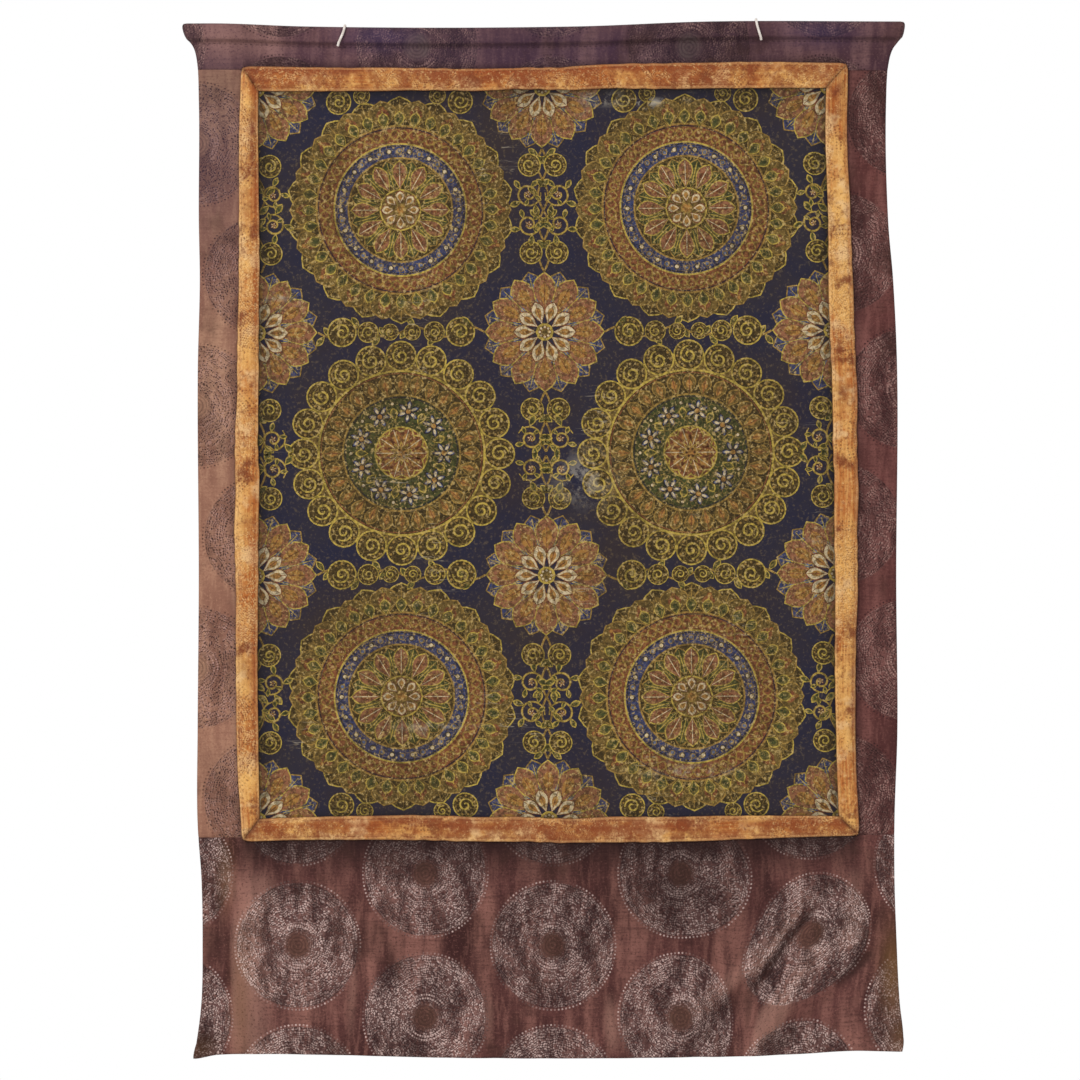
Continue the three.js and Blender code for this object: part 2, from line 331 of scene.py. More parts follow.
def grid(across, down):
    """Shares across and down, for every point of a grid from its top left."""
    return np.meshgrid(np.linspace(0, 1, across + 1), np.linspace(0, 1, down + 1))


def rim_order(rows, columns):
    """Row and column of each point round a grid's edge, from its top left."""
    top = [(0, i) for i in range(columns - 1)]
    right = [(j, columns - 1) for j in range(rows - 1)]
    bottom = [(rows - 1, i) for i in range(columns - 1, 0, -1)]
    left = [(j, 0) for j in range(rows - 1, 0, -1)]
    return np.array(top + right + bottom + left)


def sheet_piece(name, x, drop, front, back, flat, materials, marks):
    """A closed sheet with a soft round edge, from grids in millimetres.

    flat is its place on the uncut cloth, and marks are named grids of values that its material reads.
    """
    rows, columns = x.shape
    layer = rows * columns
    index = np.arange(layer).reshape(rows, columns)
    a, b, c, d = index[:-1, :-1], index[:-1, 1:], index[1:, :-1], index[1:, 1:]
    front_faces = np.stack([a, c, d, b], -1).reshape(-1, 4)
    back_faces = np.stack([a, b, d, c], -1).reshape(-1, 4) + layer

    rim = rim_order(rows, columns)
    ring = index[rim[:, 0], rim[:, 1]]
    inner = index[np.clip(rim[:, 0], 1, rows - 2), np.clip(rim[:, 1], 1, columns - 2)]
    flat_x, flat_z = x.ravel(), -drop.ravel()
    out = np.stack([flat_x[ring] - flat_x[inner], flat_z[ring] - flat_z[inner]], -1)
    out /= np.linalg.norm(out, axis=1, keepdims=True)
    half = (back.ravel()[ring] - front.ravel()[ring]) / 2
    middle = np.stack(
        [
            flat_x[ring] + EDGE_ROUND * half * out[:, 0],
            front.ravel()[ring] + half,
            flat_z[ring] + EDGE_ROUND * half * out[:, 1],
        ],
        -1,
    )
    mid = 2 * layer + np.arange(len(ring))
    after, mid_after = np.roll(ring, -1), np.roll(mid, -1)
    rim_faces = np.concatenate(
        [
            np.stack([ring, after, mid_after, mid], -1),
            np.stack([mid, mid_after, after + layer, ring + layer], -1),
        ]
    )

    face_front = np.stack([flat_x, front.ravel(), flat_z], -1)
    face_back = np.stack([flat_x, back.ravel(), flat_z], -1)
    points = np.concatenate([face_front, face_back, middle]) * MM
    faces = np.concatenate([front_faces, back_faces, rim_faces])
    mesh = bpy.data.meshes.new(name)
    mesh.from_pydata(points.tolist(), [], faces.tolist())
    for material in materials:
        mesh.materials.append(material)
    slots = np.zeros(len(faces), int)
    slots[len(front_faces):len(front_faces) + len(back_faces)] = len(materials) - 1
    mesh.polygons.foreach_set("material_index", slots)
    mesh.polygons.foreach_set("use_smooth", np.ones(len(faces), bool))

    flat_u, flat_v = (part.ravel() for part in flat)
    uv = np.stack([flat_u, flat_v], -1) * MM
    uv = np.concatenate([uv, uv, uv[ring]])
    corners = np.empty(len(mesh.loops), int)
    mesh.loops.foreach_get("vertex_index", corners)
    mesh.uv_layers.new(name="cloth").uv.foreach_set("vector", uv[corners].ravel())
    for mark, values in marks.items():
        values = values.ravel()
        values = np.concatenate([values, values, values[ring]])
        mesh.attributes.new(mark, "FLOAT", "POINT").data.foreach_set("value", values)
    mesh.update()
    return add_object(name, mesh)


def canvas_place(across, down, lap):
    """x and drop of a place on the canvas, which reaches a lap behind the strips."""
    guess = lerp(strip_inner["left"](0), strip_inner["right"](0), across)
    drop = lerp(strip_inner["top"](guess) - lap, strip_inner["bottom"](guess) + lap, down)
    x = lerp(strip_inner["left"](drop) - lap, strip_inner["right"](drop) + lap, across)
    return x, drop


# A soft patch on a cloth: its middle, its reach both ways and its strength
Patch = namedtuple("Patch", "x drop across down strength")


def patch_strength(x, drop, patches):
    """The strongest of several patches at each place."""
    strength = np.zeros(x.shape)
    for patch in patches:
        spread = ((x - patch.x) / patch.across) ** 2 + ((drop - patch.drop) / patch.down) ** 2
        strength = np.maximum(strength, patch.strength * np.exp(-spread))
    return strength


# How far the painted shadow beside each strip reaches on the canvas, and how dark it is
CANVAS_SHADE = {"top": (8, 0.75), "left": (9, 0.8), "right": (7, 0.75), "bottom": (3, 0.5)}

# Scuffed places on the canvas
SCUFFS = (
    Patch(-259, 272, 15, 1.6, 0.9),
    Patch(98, 75, 26, 2.6, 1.0),
    Patch(56, 71, 16, 5, 0.8),
    Patch(272, 515, 9, 1.4, 0.8),
    Patch(40, 452, 22, 20, 0.5),
    Patch(-110, 700, 30, 3, 0.5),
    Patch(150, 745, 40, 4, 0.5),
)


def canvas_marks(x, drop):
    """How far the painted shadow beside each strip darkens the canvas, and where it is scuffed."""
    shade = np.zeros(x.shape)
    for side, (reach, dark) in CANVAS_SHADE.items():
        at, off = (drop, x) if side in UPRIGHT_SIDES else (x, drop)
        away = np.abs(off - strip_inner[side](at))
        shade = np.maximum(shade, dark * np.exp(-away / reach))
    return {"shade": shade, "scuff": patch_strength(x, drop, SCUFFS)}


def painting_piece(materials):
    x, drop = canvas_place(*grid(CANVAS_COLUMNS, CANVAS_ROWS), SEWN_LAP)
    front = hang(x, drop)
    back = front + CANVAS_THICKNESS
    return sheet_piece("painted_canvas", x, drop, front, back, (x, -drop), materials, canvas_marks(x, drop))


# Painted shadow on the brocade beside each strip, with soiling below the lower strip: reach and darkness, the
# softness of its ends, its fade
STRIP_SHADE = {"top": (9, 0.6), "left": (6, 0.25), "right": (7, 0.42), "bottom": (33, 0.86)}
SHADE_END = 6
SHADE_FADE = 1.6

# How much rise of a fold or a crease brings wear and painted highlight on ridges, and dirt and painted shade
# in troughs
FOLD_LIGHT_AND_WEAR_AT = 10
CREASE_LIGHT_AND_WEAR_AT = 2.2

# Soft patches on the brocade
STAINS = (
    Patch(350, 945, 13, 42, 1.0),
    Patch(356, 1010, 12, 24, 0.6),
    Patch(-303, 975, 10, 62, 0.5),
    Patch(-318, 850, 9, 34, 0.5),
    Patch(-346, 1020, 16, 12, 0.5),
)
DARK_PATCHES = (
    Patch(-330, 150, 60, 105, 0.34),
    Patch(-335, 430, 60, 130, 0.08),
    Patch(-10, 20, 215, 50, 0.33),
    Patch(330, 20, 170, 40, 0.3),
    Patch(150, 22, 140, 45, 0.46),
    Patch(-325, 58, 50, 36, 0.46),
    Patch(-330, 300, 50, 45, 0.15),
    Patch(-330, 735, 50, 22, 0.16),
    Patch(-341, 1012, 10, 26, 0.4),
    Patch(140, 862, 95, 50, 0.55),
    Patch(10, 905, 70, 60, 0.22),
    Patch(-115, 905, 60, 30, 0.13),
)
# Violet patches: the two on the sleeve are painted sheen, the others a violet tone of the silk
VIOLET_PATCHES = (
    Patch(-160, 10, 46, 18, 0.8),
    Patch(275, 6, 42, 16, 0.7),
    Patch(0, 22, 210, 34, 0.4),
    Patch(-335, 130, 50, 110, 0.4),
)
FADED_PATCHES = (
    Patch(-310, 12, 66, 26, 0.55),
    Patch(-309, 985, 9, 65, 0.4),
    Patch(-323, 885, 8, 45, 0.5),
    Patch(-322, 858, 24, 24, 0.45),
    Patch(-265, 940, 80, 80, 0.3),
    Patch(300, 925, 40, 50, 0.2),
    Patch(-120, 990, 90, 34, 0.2),
    Patch(140, 1000, 70, 30, 0.25),
    Patch(-58, 985, 14, 55, 0.3),
    Patch(75, 1000, 16, 40, 0.35),
    Patch(-335, 690, 40, 140, 0.16),
)


def brocade_marks(x, drop):
    """Where the brocade is worn pale with painted highlight on its ridges, dirty with painted shade in its
    troughs, darkened in patches and by painted shadow beside a strip, stained, and tinged with violet with
    painted sheen on the sleeve.
    """
    shade = patch_strength(x, drop, DARK_PATCHES)
    for side, (reach, dark) in STRIP_SHADE.items():
        upright = side in UPRIGHT_SIDES
        at, off = (drop, x) if upright else (x, drop)
        out = 1 if side in ("right", "bottom") else -1
        first, last = STRIPS[side]["at"][0], STRIPS[side]["at"][-1]
        beside = smoothstep(at, first - SHADE_END, first + SHADE_END)
        beside = beside * smoothstep(at, last + SHADE_END, last - SHADE_END)
        away = out * (off - strip_outer[side](at))
        beside = beside * (away > -2 * SEWN_LAP)
        fade = np.exp(-((np.maximum(away, 0) / reach) ** SHADE_FADE))
        shade = np.maximum(shade, dark * beside * fade)
    raised = fold_relief(x, drop, FOLDS) / FOLD_LIGHT_AND_WEAR_AT
    raised = raised + fold_relief(x, drop, CREASES, True) / CREASE_LIGHT_AND_WEAR_AT
    return {
        "fold_light_and_wear": raised + patch_strength(x, drop, FADED_PATCHES),
        "shade": shade,
        "stain": patch_strength(x, drop, STAINS),
        "violet_tone_and_sheen": patch_strength(x, drop, VIOLET_PATCHES),
    }


def brocade_piece(side, x, drop, front, back, flat, material):
    """One panel of the mount, with the marks of its wear."""
    name = "brocade_" + side + "_cloth"
    return sheet_piece(name, x, drop, front, back, flat, [material], brocade_marks(x, drop))


# Rows of the top panel down its sleeve and below it, and the puckers along the sleeve's seam
SLEEVE_ROWS = (0, 0.4, 0.8, 1.6, 2.4, 3.4, 4.5, 6.5, 9, 11.5, 13.5, 14.5, 15.5, 16.4, 17.2, 18, 18.8)
ROWS_BELOW_SLEEVE = 9
PUCKER_WAVE = 17
PUCKER_HEIGHT = 0.35
PUCKER_DRIFT = 3
PUCKER_DRIFT_REACH = 61
SETTLED_BY = 0.3


def brocade_top_piece(material):
    rows = len(SLEEVE_ROWS) + ROWS_BELOW_SLEEVE
    across = np.tile(np.linspace(0, 1, TOP_COLUMNS + 1), (rows, 1))
    guess = lerp(OUTLINE["left"][0], OUTLINE["right"][0], across)
    below = np.array(SLEEVE_ROWS + (SLEEVE_ROWS[-1],) * ROWS_BELOW_SLEEVE)[:, None]
    share = np.clip((np.arange(rows) - len(SLEEVE_ROWS) + 1) / ROWS_BELOW_SLEEVE, 0, 1)[:, None]
    crease = top_edge(guess) + below
    drop = lerp(crease, straight(TOP_SEAM, guess), share)
    x = lerp(left_edge(drop), right_edge(drop), across)
    phase = 2 * math.pi * x / PUCKER_WAVE + PUCKER_DRIFT * np.sin(x / PUCKER_DRIFT_REACH)
    hung = hang(x, drop) + PUCKER_HEIGHT * np.sin(phase) * np.sin(math.pi * share)
    settle = smoothstep(share, 0, SETTLED_BY)
    front = lerp(sleeve_front(below), hung, settle)
    back = lerp(sleeve_back(below), hung + BROCADE_THICKNESS, settle)
    return brocade_piece("top", x, drop, front, back, (x, -drop), material)


def brocade_side_piece(side, material):
    across, down = grid(SIDE_COLUMNS, SIDE_ROWS)
    edge_x = TOP_SEAM["x"][0 if side == "left" else 1]
    upper = straight(TOP_SEAM, edge_x) + SEAM_GAP
    lower = straight(BOTTOM_SEAM, edge_x) - SEAM_GAP
    drop = lerp(upper, lower, down)
    if side == "left":
        x = lerp(left_edge(drop), strip_outer[side](drop) + SEWN_LAP, across)
    else:
        x = lerp(strip_outer[side](drop) - SEWN_LAP, right_edge(drop), across)
    front = hang(x, drop)
    return brocade_piece(side, x, drop, front, front + BROCADE_THICKNESS, (x, -drop), material)


# Where the slanting folds take up cloth, the figure is drawn together across them and out along them
GATHER_CENTRE = (236, 932)
GATHER_REACH = 98
GATHER_ACROSS = (0.71, 0.71)
GATHER_ALONG = (0.71, -0.71)
GATHER_SHARE = 0.27
DRAWN_SHARE = 0.32
GATHER_FROM = 140
GATHER_TO = 205
FIGURE_LIFT = 3
FIGURE_SHIFT = 4
FIGURE_MOVES_FROM = 130
FIGURE_MOVES_TO = 270

# Where the lower panel starts to hang loose, and the height over which its hem thickens
LOOSE_FROM = 822
LOOSE_TO = 875
HEM_STEP = 1.5


def gathered_flat(x, drop):
    """Where a place on the hung lower panel lies on the uncut cloth."""
    off = np.stack([x - GATHER_CENTRE[0], drop - GATHER_CENTRE[1]], -1)
    near = np.exp(-(off**2).sum(-1) / GATHER_REACH**2) * smoothstep(x, GATHER_FROM, GATHER_TO)
    taken = GATHER_SHARE * near * (off @ GATHER_ACROSS)
    drawn = DRAWN_SHARE * near * (off @ GATHER_ALONG)
    moved = smoothstep(x, FIGURE_MOVES_FROM, FIGURE_MOVES_TO)
    flat_x = x + taken * GATHER_ACROSS[0] - drawn * GATHER_ALONG[0] + FIGURE_SHIFT * moved
    flat_drop = drop + taken * GATHER_ACROSS[1] - drawn * GATHER_ALONG[1] + FIGURE_LIFT * moved
    return flat_x, -flat_drop


def brocade_bottom_piece(material):
    across, down = grid(LOWER_COLUMNS, LOWER_ROWS)
    guess = lerp(BOTTOM_EDGE["x"][0], BOTTOM_EDGE["x"][-1], across)
    lower = bottom_edge(guess)
    drop = lerp(straight(BOTTOM_SEAM, guess), lower, down)
    x = lerp(left_edge(drop), right_edge(drop), across)
    loose = smoothstep(drop, LOOSE_FROM, LOOSE_TO)
    front = hang(x, drop) - loose * (fold_relief(x, drop, CREASES, True) + wrinkle(x, drop))
    hem_top = lower - HEM_HEIGHT
    hem = HEM_EXTRA * smoothstep(drop, hem_top - HEM_STEP, hem_top)
    back = front + BROCADE_THICKNESS + hem
    return brocade_piece("bottom", x, drop, front, back, gathered_flat(x, drop), material)


# Padded strips: puckers along the sewn edges, wavering and ragged edges, slack padding
STRIP_PUCKER_PITCH = 9
STRIP_PUCKER = 0.22
STRIP_WAVER = 0.5
RAGGED_EDGE = 0.35
STRIP_SLACK = 0.4
FINE_SLACK = 0.3
FINE_SLACK_COMES = 47
CORNER_ROUND = 2.6
CORNER_REACH = 9
GROOVE_AT = 0.36
GROOVE_DEPTH = 0.45
GROOVE_HALF = 0.03
MITRE_SHADE = 3.5

# Uneven waves along a strip: the wave's reach, how far it drifts and the reach of the drift
WAVER_WAVE = (23, 2, 71)
RAGGED_WAVE = (5.5, 2.5, 17)
SLACK_WAVE = (37, 1.3, 53)
FINE_SLACK_WAVE = (11, 2, 29)

# Rust stains on the strips: place along, share across from the outer edge, both reaches and strength
STRIP_STAINS = {
    "left": (
        (110, 0.68, 48, 0.2, 1.0),
        (176, 0.4, 16, 0.3, 0.5),
        (496, 0.6, 7, 0.4, 0.8),
        (640, 0.5, 18, 0.3, 0.6),
    ),
    "right": (
        (66, 0.5, 14, 0.4, 0.9),
        (88, 0.5, 10, 0.3, 0.7),
        (366, 0.6, 9, 0.4, 0.8),
        (670, 0.1, 60, 0.25, 0.8),
    ),
    "top": (
        (-199, 0.12, 12, 0.2, 1.0),
        (-75, 0.4, 62, 0.2, 0.9),
        (206, 0.3, 16, 0.3, 0.9),
        (-290, 0.6, 12, 0.3, 0.7),
    ),
    "bottom": (
        (-60, 0.5, 70, 0.2, 0.7),
        (50, 0.6, 60, 0.22, 0.8),
        (250, 0.5, 30, 0.3, 0.5),
        (-280, 0.5, 14, 0.4, 0.6),
    ),
}

# Along the whole of a strip, the bands of painted shade with browning and the bands of painted highlight with
# dust: share across, reach and strength
SHADE_AND_BROWN_BANDS = {
    "left": ((0.9, 0.28, 0.9),),
    "right": ((0.02, 0.14, 0.8), (0.68, 0.1, 0.25)),
    "top": ((0.14, 0.24, 1.0), (0.52, 0.2, 0.35)),
    "bottom": ((0.62, 0.18, 0.8),),
}
HIGHLIGHT_AND_DUST_BANDS = {
    "left": ((0.12, 0.22, 0.3),),
    "right": ((0.42, 0.14, 0.1), (0.9, 0.06, 0.15)),
    "top": ((0.03, 0.04, 0.1), (0.9, 0.12, 0.12)),
    "bottom": ((0.14, 0.14, 0.35), (0.86, 0.07, 0.5)),
}


def uneven_wave(at, reach, drift, drift_reach):
    """A wave along a strip that runs now faster, now slower."""
    return np.sin(at / reach + drift * np.sin(at / drift_reach))


def band_strength(inward, bands):
    """The strongest of several bands at each share across a strip."""
    strength = np.zeros(inward.shape)
    for share, reach, most in bands:
        strength = np.maximum(strength, most * np.exp(-(((inward - share) / reach) ** 2)))
    return strength


def border_piece(side, material):
    """A padded strip, mitred at both ends, puckered where it is sewn down along its edges."""
    upright = side in UPRIGHT_SIDES
    before, after = ("top", "bottom") if upright else ("left", "right")
    first, last = STRIPS[side]["at"][0], STRIPS[side]["at"][-1]
    if upright:
        across, along = grid(STRIP_COLUMNS, UPRIGHT_ROWS)
    else:
        along, across = grid(LEVEL_ROWS, STRIP_COLUMNS)
    outer_first = side in ("left", "top")
    inward = across if outer_first else 1 - across
    ends = {}
    for name, curves in (("outer", strip_outer), ("inner", strip_inner)):
        ends[name] = (
            curves[before](curves[side](first)) + MITRE_GAP,
            curves[after](curves[side](last)) - MITRE_GAP,
        )
    outer_at = lerp(*ends["outer"], along)
    inner_at = lerp(*ends["inner"], along)
    at = lerp(outer_at, inner_at, inward)
    ends_free = np.sin(math.pi * along)
    waver = STRIP_WAVER * uneven_wave(at, *WAVER_WAVE) * ends_free
    ragged = RAGGED_EDGE * (2 * inward - 1) ** 3 * uneven_wave(at, *RAGGED_WAVE) * ends_free
    to_end = np.minimum(at - ends["outer"][0], ends["outer"][1] - at)
    rounded = CORNER_ROUND * np.clip(1 - to_end / CORNER_REACH, 0, 1) ** 2 * (1 - inward) ** 2
    towards_inside = 1 if outer_first else -1
    off = lerp(strip_outer[side](outer_at), strip_inner[side](inner_at), inward)
    off = off + waver + ragged + towards_inside * rounded
    x, drop = (off, at) if upright else (at, off)
    crown = 1 - (2 * across - 1) ** STRIP_SQUARENESS
    edge = (2 * across - 1) ** 2
    pucker = STRIP_PUCKER * edge * np.sin(2 * math.pi * at / STRIP_PUCKER_PITCH)
    fine_slack = FINE_SLACK * uneven_wave(at, *FINE_SLACK_WAVE) * np.sin(at / FINE_SLACK_COMES)
    slack = crown * (STRIP_SLACK * uneven_wave(at, *SLACK_WAVE) + fine_slack)
    groove = GROOVE_DEPTH * np.exp(-(((np.abs(across - 0.5) - GROOVE_AT) / GROOVE_HALF) ** 2))
    back = hang(x, drop) - STRIP_GAP
    front = back - lerp(STRIP_RIM, STRIP_CROWN, crown) - slack - pucker * crown + groove
    width = np.abs(strip_outer[side](outer_at) - strip_inner[side](inner_at))
    flat = (at, inward * width)
    stain = np.zeros(x.shape)
    for stain_at, stain_across, reach_at, reach_across, strength in STRIP_STAINS[side]:
        spread = ((at - stain_at) / reach_at) ** 2 + ((inward - stain_across) / reach_across) ** 2
        stain = np.maximum(stain, strength * np.exp(-spread))
    from_mitre = np.minimum(along, 1 - along) * (last - first)
    marks = {
        "inward": inward,
        "stain": stain,
        "shade_and_browning": band_strength(inward, SHADE_AND_BROWN_BANDS[side]),
        "dust_and_highlight": band_strength(inward, HIGHLIGHT_AND_DUST_BANDS[side]),
        "mitre": np.exp(-((from_mitre / MITRE_SHADE) ** 2)),
    }
    return sheet_piece("border_" + side + "_silk", x, drop, front, back, flat, [material], marks)


# Cords

def cord_points(pierce_x, cross_x):
    """The route of a cord in millimetres, as x, depth and height."""
    top = -float(top_edge(cross_x))
    route = [(lerp(pierce_x, cross_x, share), depth, top - below) for share, depth, below in CORD_ROUTE]
    return np.array(route)


def smooth_path(points, steps):
    """Many points along a smooth curve through a few."""
    where = np.linspace(0, len(points) - 1, steps)
    padded = np.vstack([2 * points[0] - points[1], points, 2 * points[-1] - points[-2]])
    i = np.minimum(where.astype(int), len(points) - 2)
    p = (where - i)[:, None]
    before, start, end, after = padded[i], padded[i + 1], padded[i + 2], padded[i + 3]
    even = 2 * start + (end - before) * p
    bent = (2 * before - 5 * start + 4 * end - after) * p**2
    twisted = (3 * start - before - 3 * end + after) * p**3
    return 0.5 * (even + bent + twisted)


def cord_piece(name, pierce_x, cross_x, material):
    """A twisted cord along its route. Gives the piece, its path and its length."""
    path = smooth_path(cord_points(pierce_x, cross_x), CORD_STEPS)
    runs = np.linalg.norm(np.diff(path, axis=0), axis=1)
    travelled = np.concatenate([[0], np.cumsum(runs)])
    around = np.linspace(0, 2 * math.pi, CORD_SIDES, endpoint=False)
    tangents = np.gradient(path, axis=0)
    tangents /= np.linalg.norm(tangents, axis=1, keepdims=True)
    points = []
    for place, tangent, run in zip(path, tangents, travelled):
        side = np.array((1.0, 0, 0)) - tangent * tangent[0]
        side /= np.linalg.norm(side)
        up = np.cross(tangent, side)
        twist = 2 * math.pi * run / CORD_LAY_LENGTH
        lobes = np.abs(np.cos(CORD_STRANDS * (around - twist) / 2))
        radius = CORD_DIAMETER / 2 * lerp(CORD_CORE, 1, lobes**STRAND_ROUNDNESS)
        out = np.outer(np.cos(around), side) + np.outer(np.sin(around), up)
        points.extend(place + radius[:, None] * out)
    faces = []
    for k in range(len(path) - 1):
        ring, next_ring = k * CORD_SIDES, (k + 1) * CORD_SIDES
        for s in range(CORD_SIDES):
            t = (s + 1) % CORD_SIDES
            faces.append((ring + s, ring + t, next_ring + t, next_ring + s))
    faces.append(tuple(range(CORD_SIDES - 1, -1, -1)))
    faces.append(tuple(range(len(points) - CORD_SIDES, len(points))))
    mesh = bpy.data.meshes.new(name)
    mesh.from_pydata((np.array(points) * MM).tolist(), [], faces)
    mesh.polygons.foreach_set("use_smooth", [True] * len(faces))
    mesh.materials.append(material)
    shape = bmesh.new()
    shape.from_mesh(mesh)
    bmesh.ops.recalc_face_normals(shape, faces=shape.faces)
    shape.to_mesh(mesh)
    shape.free()
    return add_object(name, mesh), path * MM, travelled[-1] * MM


# Materials

class Value:
    """A number, vector or colour in a material. Arithmetic on it adds Math nodes."""

    def __init__(self, finish, socket):
        self.finish = finish
        self.socket = socket

    def other(self, output):
        return Value(self.finish, self.socket.node.outputs[output])

    def math(self, operation, *others):
        inputs = dict(enumerate((self, *others)))
        return self.finish.node("ShaderNodeMath", {"operation": operation}, inputs)

    def __add__(self, other):
        return self.math("ADD", other)

    def __sub__(self, other):
        return self.math("SUBTRACT", other)

    def __mul__(self, other):
        return self.math("MULTIPLY", other)

    def __rsub__(self, other):
        return self.finish.node("ShaderNodeMath", {"operation": "SUBTRACT"}, {0: other, 1: self})

    __radd__ = __add__
    __rmul__ = __mul__

    def floor(self):
        return self.math("FLOOR")

    def fract(self):
        return self.math("FRACT")

    def sqrt(self):
        return self.math("SQRT")

    def sine(self):
        return self.math("SINE")

    def size(self):
        return self.math("ABSOLUTE")

    def between(self, low, high, start=0.0, end=1.0):
        """A soft step from start to end as the value goes from low to high."""
        settings = {"interpolation_type": "SMOOTHSTEP"}
        inputs = {"Value": self, "From Min": low, "From Max": high, "To Min": start, "To Max": end}
        return self.finish.node("ShaderNodeMapRange", settings, inputs)


class Finish:
    """One material. node() adds any node, with its settings first and then its sockets."""

    def __init__(self, name):
        self.material = bpy.data.materials.new(name)
        self.material.use_nodes = True
        self.tree = self.material.node_tree
        self.tree.nodes.clear()

    def node(self, kind, settings=None, inputs=None, output=0):
        made = self.tree.nodes.new(kind)
        for key, value in (settings or {}).items():
            setattr(made, key, value)
        for key, value in (inputs or {}).items():
            if isinstance(value, Value):
                self.tree.links.new(value.socket, made.inputs[key])
            else:
                made.inputs[key].default_value = value
        return Value(self, made.outputs[output]) if len(made.outputs) else made

    def mix(self, factor, first, second, blend="MIX"):
        settings = {"data_type": "RGBA", "blend_type": blend}
        return self.node("ShaderNodeMix", settings, {0: factor, 6: first, 7: second}, 2)

    def noise(self, place, scale, detail=2.0, roughness=0.5, stretch=(1, 1, 1)):
        moved = self.node("ShaderNodeMapping", None, {"Vector": place, "Scale": stretch})
        inputs = {"Vector": moved, "Scale": scale, "Detail": detail, "Roughness": roughness}
        return self.node("ShaderNodeTexNoise", None, inputs)

    def cloth_place(self):
        return self.node("ShaderNodeUVMap", {"uv_map": "cloth"})

    def object_place(self):
        return self.node("ShaderNodeTexCoord", None, None, "Object")

    def attribute(self, name, output="Fac"):
        return self.node("ShaderNodeAttribute", {"attribute_name": name}, None, output)

    def parts(self, place):
        first = self.node("ShaderNodeSeparateXYZ", None, {0: place})
        return first, first.other(1), first.other(2)

    def surface(self, colour, roughness, height, bump_distance, bump_strength=1.0, sheen=0.0, specular=0.3):
        inputs = {"Strength": bump_strength, "Distance": bump_distance, "Height": height}
        normal = self.node("ShaderNodeBump", None, inputs)
        shader = self.node(
            "ShaderNodeBsdfPrincipled",
            None,
            {
                "Base Color": colour,
                "Roughness": roughness,
                "Normal": normal,
                "Sheen Weight": sheen,
                "Specular IOR Level": specular,
            },
        )
        self.node("ShaderNodeOutputMaterial", None, {"Surface": shader})
        return self.material


# The woven roundels, in millimetres, and the small dots that fill them
ROUNDEL_REPEAT = 144.0
ROUNDEL_HALF_DROP = 72.0
ROUNDEL_RADIUS = 62.5
ROUNDEL_SQUASH = 0.94
ROUNDEL_RIM_DOTS = 108
ROUNDEL_INNER_DOTS = 100
ROUNDEL_ROW_GAP = 4.2
ROUNDEL_HEART = 14.0
HEART_CIRCLES = 3.4
GOLD_RIM_DOTS = 128
DOT_PITCH = 2.3
DOT_STAGGER = 0.618
DOT_SWAY = 9.0


def roundel(along, across, pitch):
    """A place about the heart of its own roundel, in a half-drop repeat."""
    column = (along * (1 / pitch) + 0.5).floor()
    across = across - column.math("FLOORED_MODULO", 2.0) * ROUNDEL_HALF_DROP
    row = (across * (1 / ROUNDEL_REPEAT) + 0.5).floor()
    return along - column * pitch, across - row * ROUNDEL_REPEAT


def polar(side, rise):
    """The radius and the turn about the heart, in whole turns."""
    radius = (side * side + rise * rise * ROUNDEL_SQUASH).sqrt()
    return radius, rise.math("ARCTAN2", side) * (1 / (2 * math.pi))


def swayed(f, place, side, rise):
    """Radius and turn of a place whose woven figure wanders a little."""
    sway_side = (f.noise(place, 120, 2, 0.5) - 0.5) * DOT_SWAY
    sway_rise = (f.noise(place, 95, 2, 0.5) - 0.5) * DOT_SWAY
    return polar(side + sway_side, rise + sway_rise)


def woven_dots(f, radius, turn, shift):
    """Rings of small dots about a roundel's heart, and a chance of its own for each dot."""
    ring = (radius * (1 / DOT_PITCH)).floor()
    count = (ring * (2 * math.pi) + math.pi).floor()
    place = turn * count + ring * DOT_STAGGER + shift
    along = (place.fract() - 0.5) * DOT_PITCH
    off = radius - (ring + 0.5) * DOT_PITCH
    near = (along * along + off * off).sqrt()
    own = f.node("ShaderNodeCombineXYZ", None, {0: ring, 1: place.floor()})
    chance = f.node("ShaderNodeTexWhiteNoise", {"noise_dimensions": "2D"}, {"Vector": own})
    return near.between(0.22 * DOT_PITCH, 0.52 * DOT_PITCH, 1, 0), chance


def dotted_ring(f, radius, turn, at, count, size):
    """One ring of larger dots at a radius, some of them fainter."""
    place = turn * count
    along = (place.fract() - 0.5) * (2 * math.pi * at / count)
    off = radius - at
    dot = (along * along + off * off).sqrt().between(size * 0.5, size * 1.4, 1, 0)
    chance = f.node("ShaderNodeTexWhiteNoise", {"noise_dimensions": "1D"}, {"W": place.floor()})
    return dot * chance.between(0, 0.7, 0.4, 1)


# One panel's colours, how strongly its dots show, and its repeat: turned panels run sideways
Brocade = namedtuple(
    "Brocade",
    "ground light dark dots dot_share hole_share tint_share field_share rim heart "
    "turned start_x start_drop pitch",
)

# Colours of the brocade's dots, its figure and its wear, and of its painted highlight, shade, shadow and
# sheen
SILVER = linear(220, 191, 183)
PALE_DOTS = linear(186, 146, 136)
DARK_RIM = linear(46, 26, 28)
WORN_PALE_AND_HIGHLIGHT = linear(180, 135, 119)
FIELD_SHADE = linear(48, 30, 31)
FIELD_TINT = linear(142, 114, 109)
HEART_LINES = linear(50, 32, 28)
HOLES = linear(40, 23, 24)
CREASE_DIRT_AND_SHADE = linear(44, 26, 23)
WATER_STAIN = linear(118, 84, 50)
VIOLET_TONE_AND_SHEEN = linear(66, 56, 98)
SHADOW_AND_PATCH_DARK = linear(34, 18, 18)
SOIL = linear(62, 40, 33)


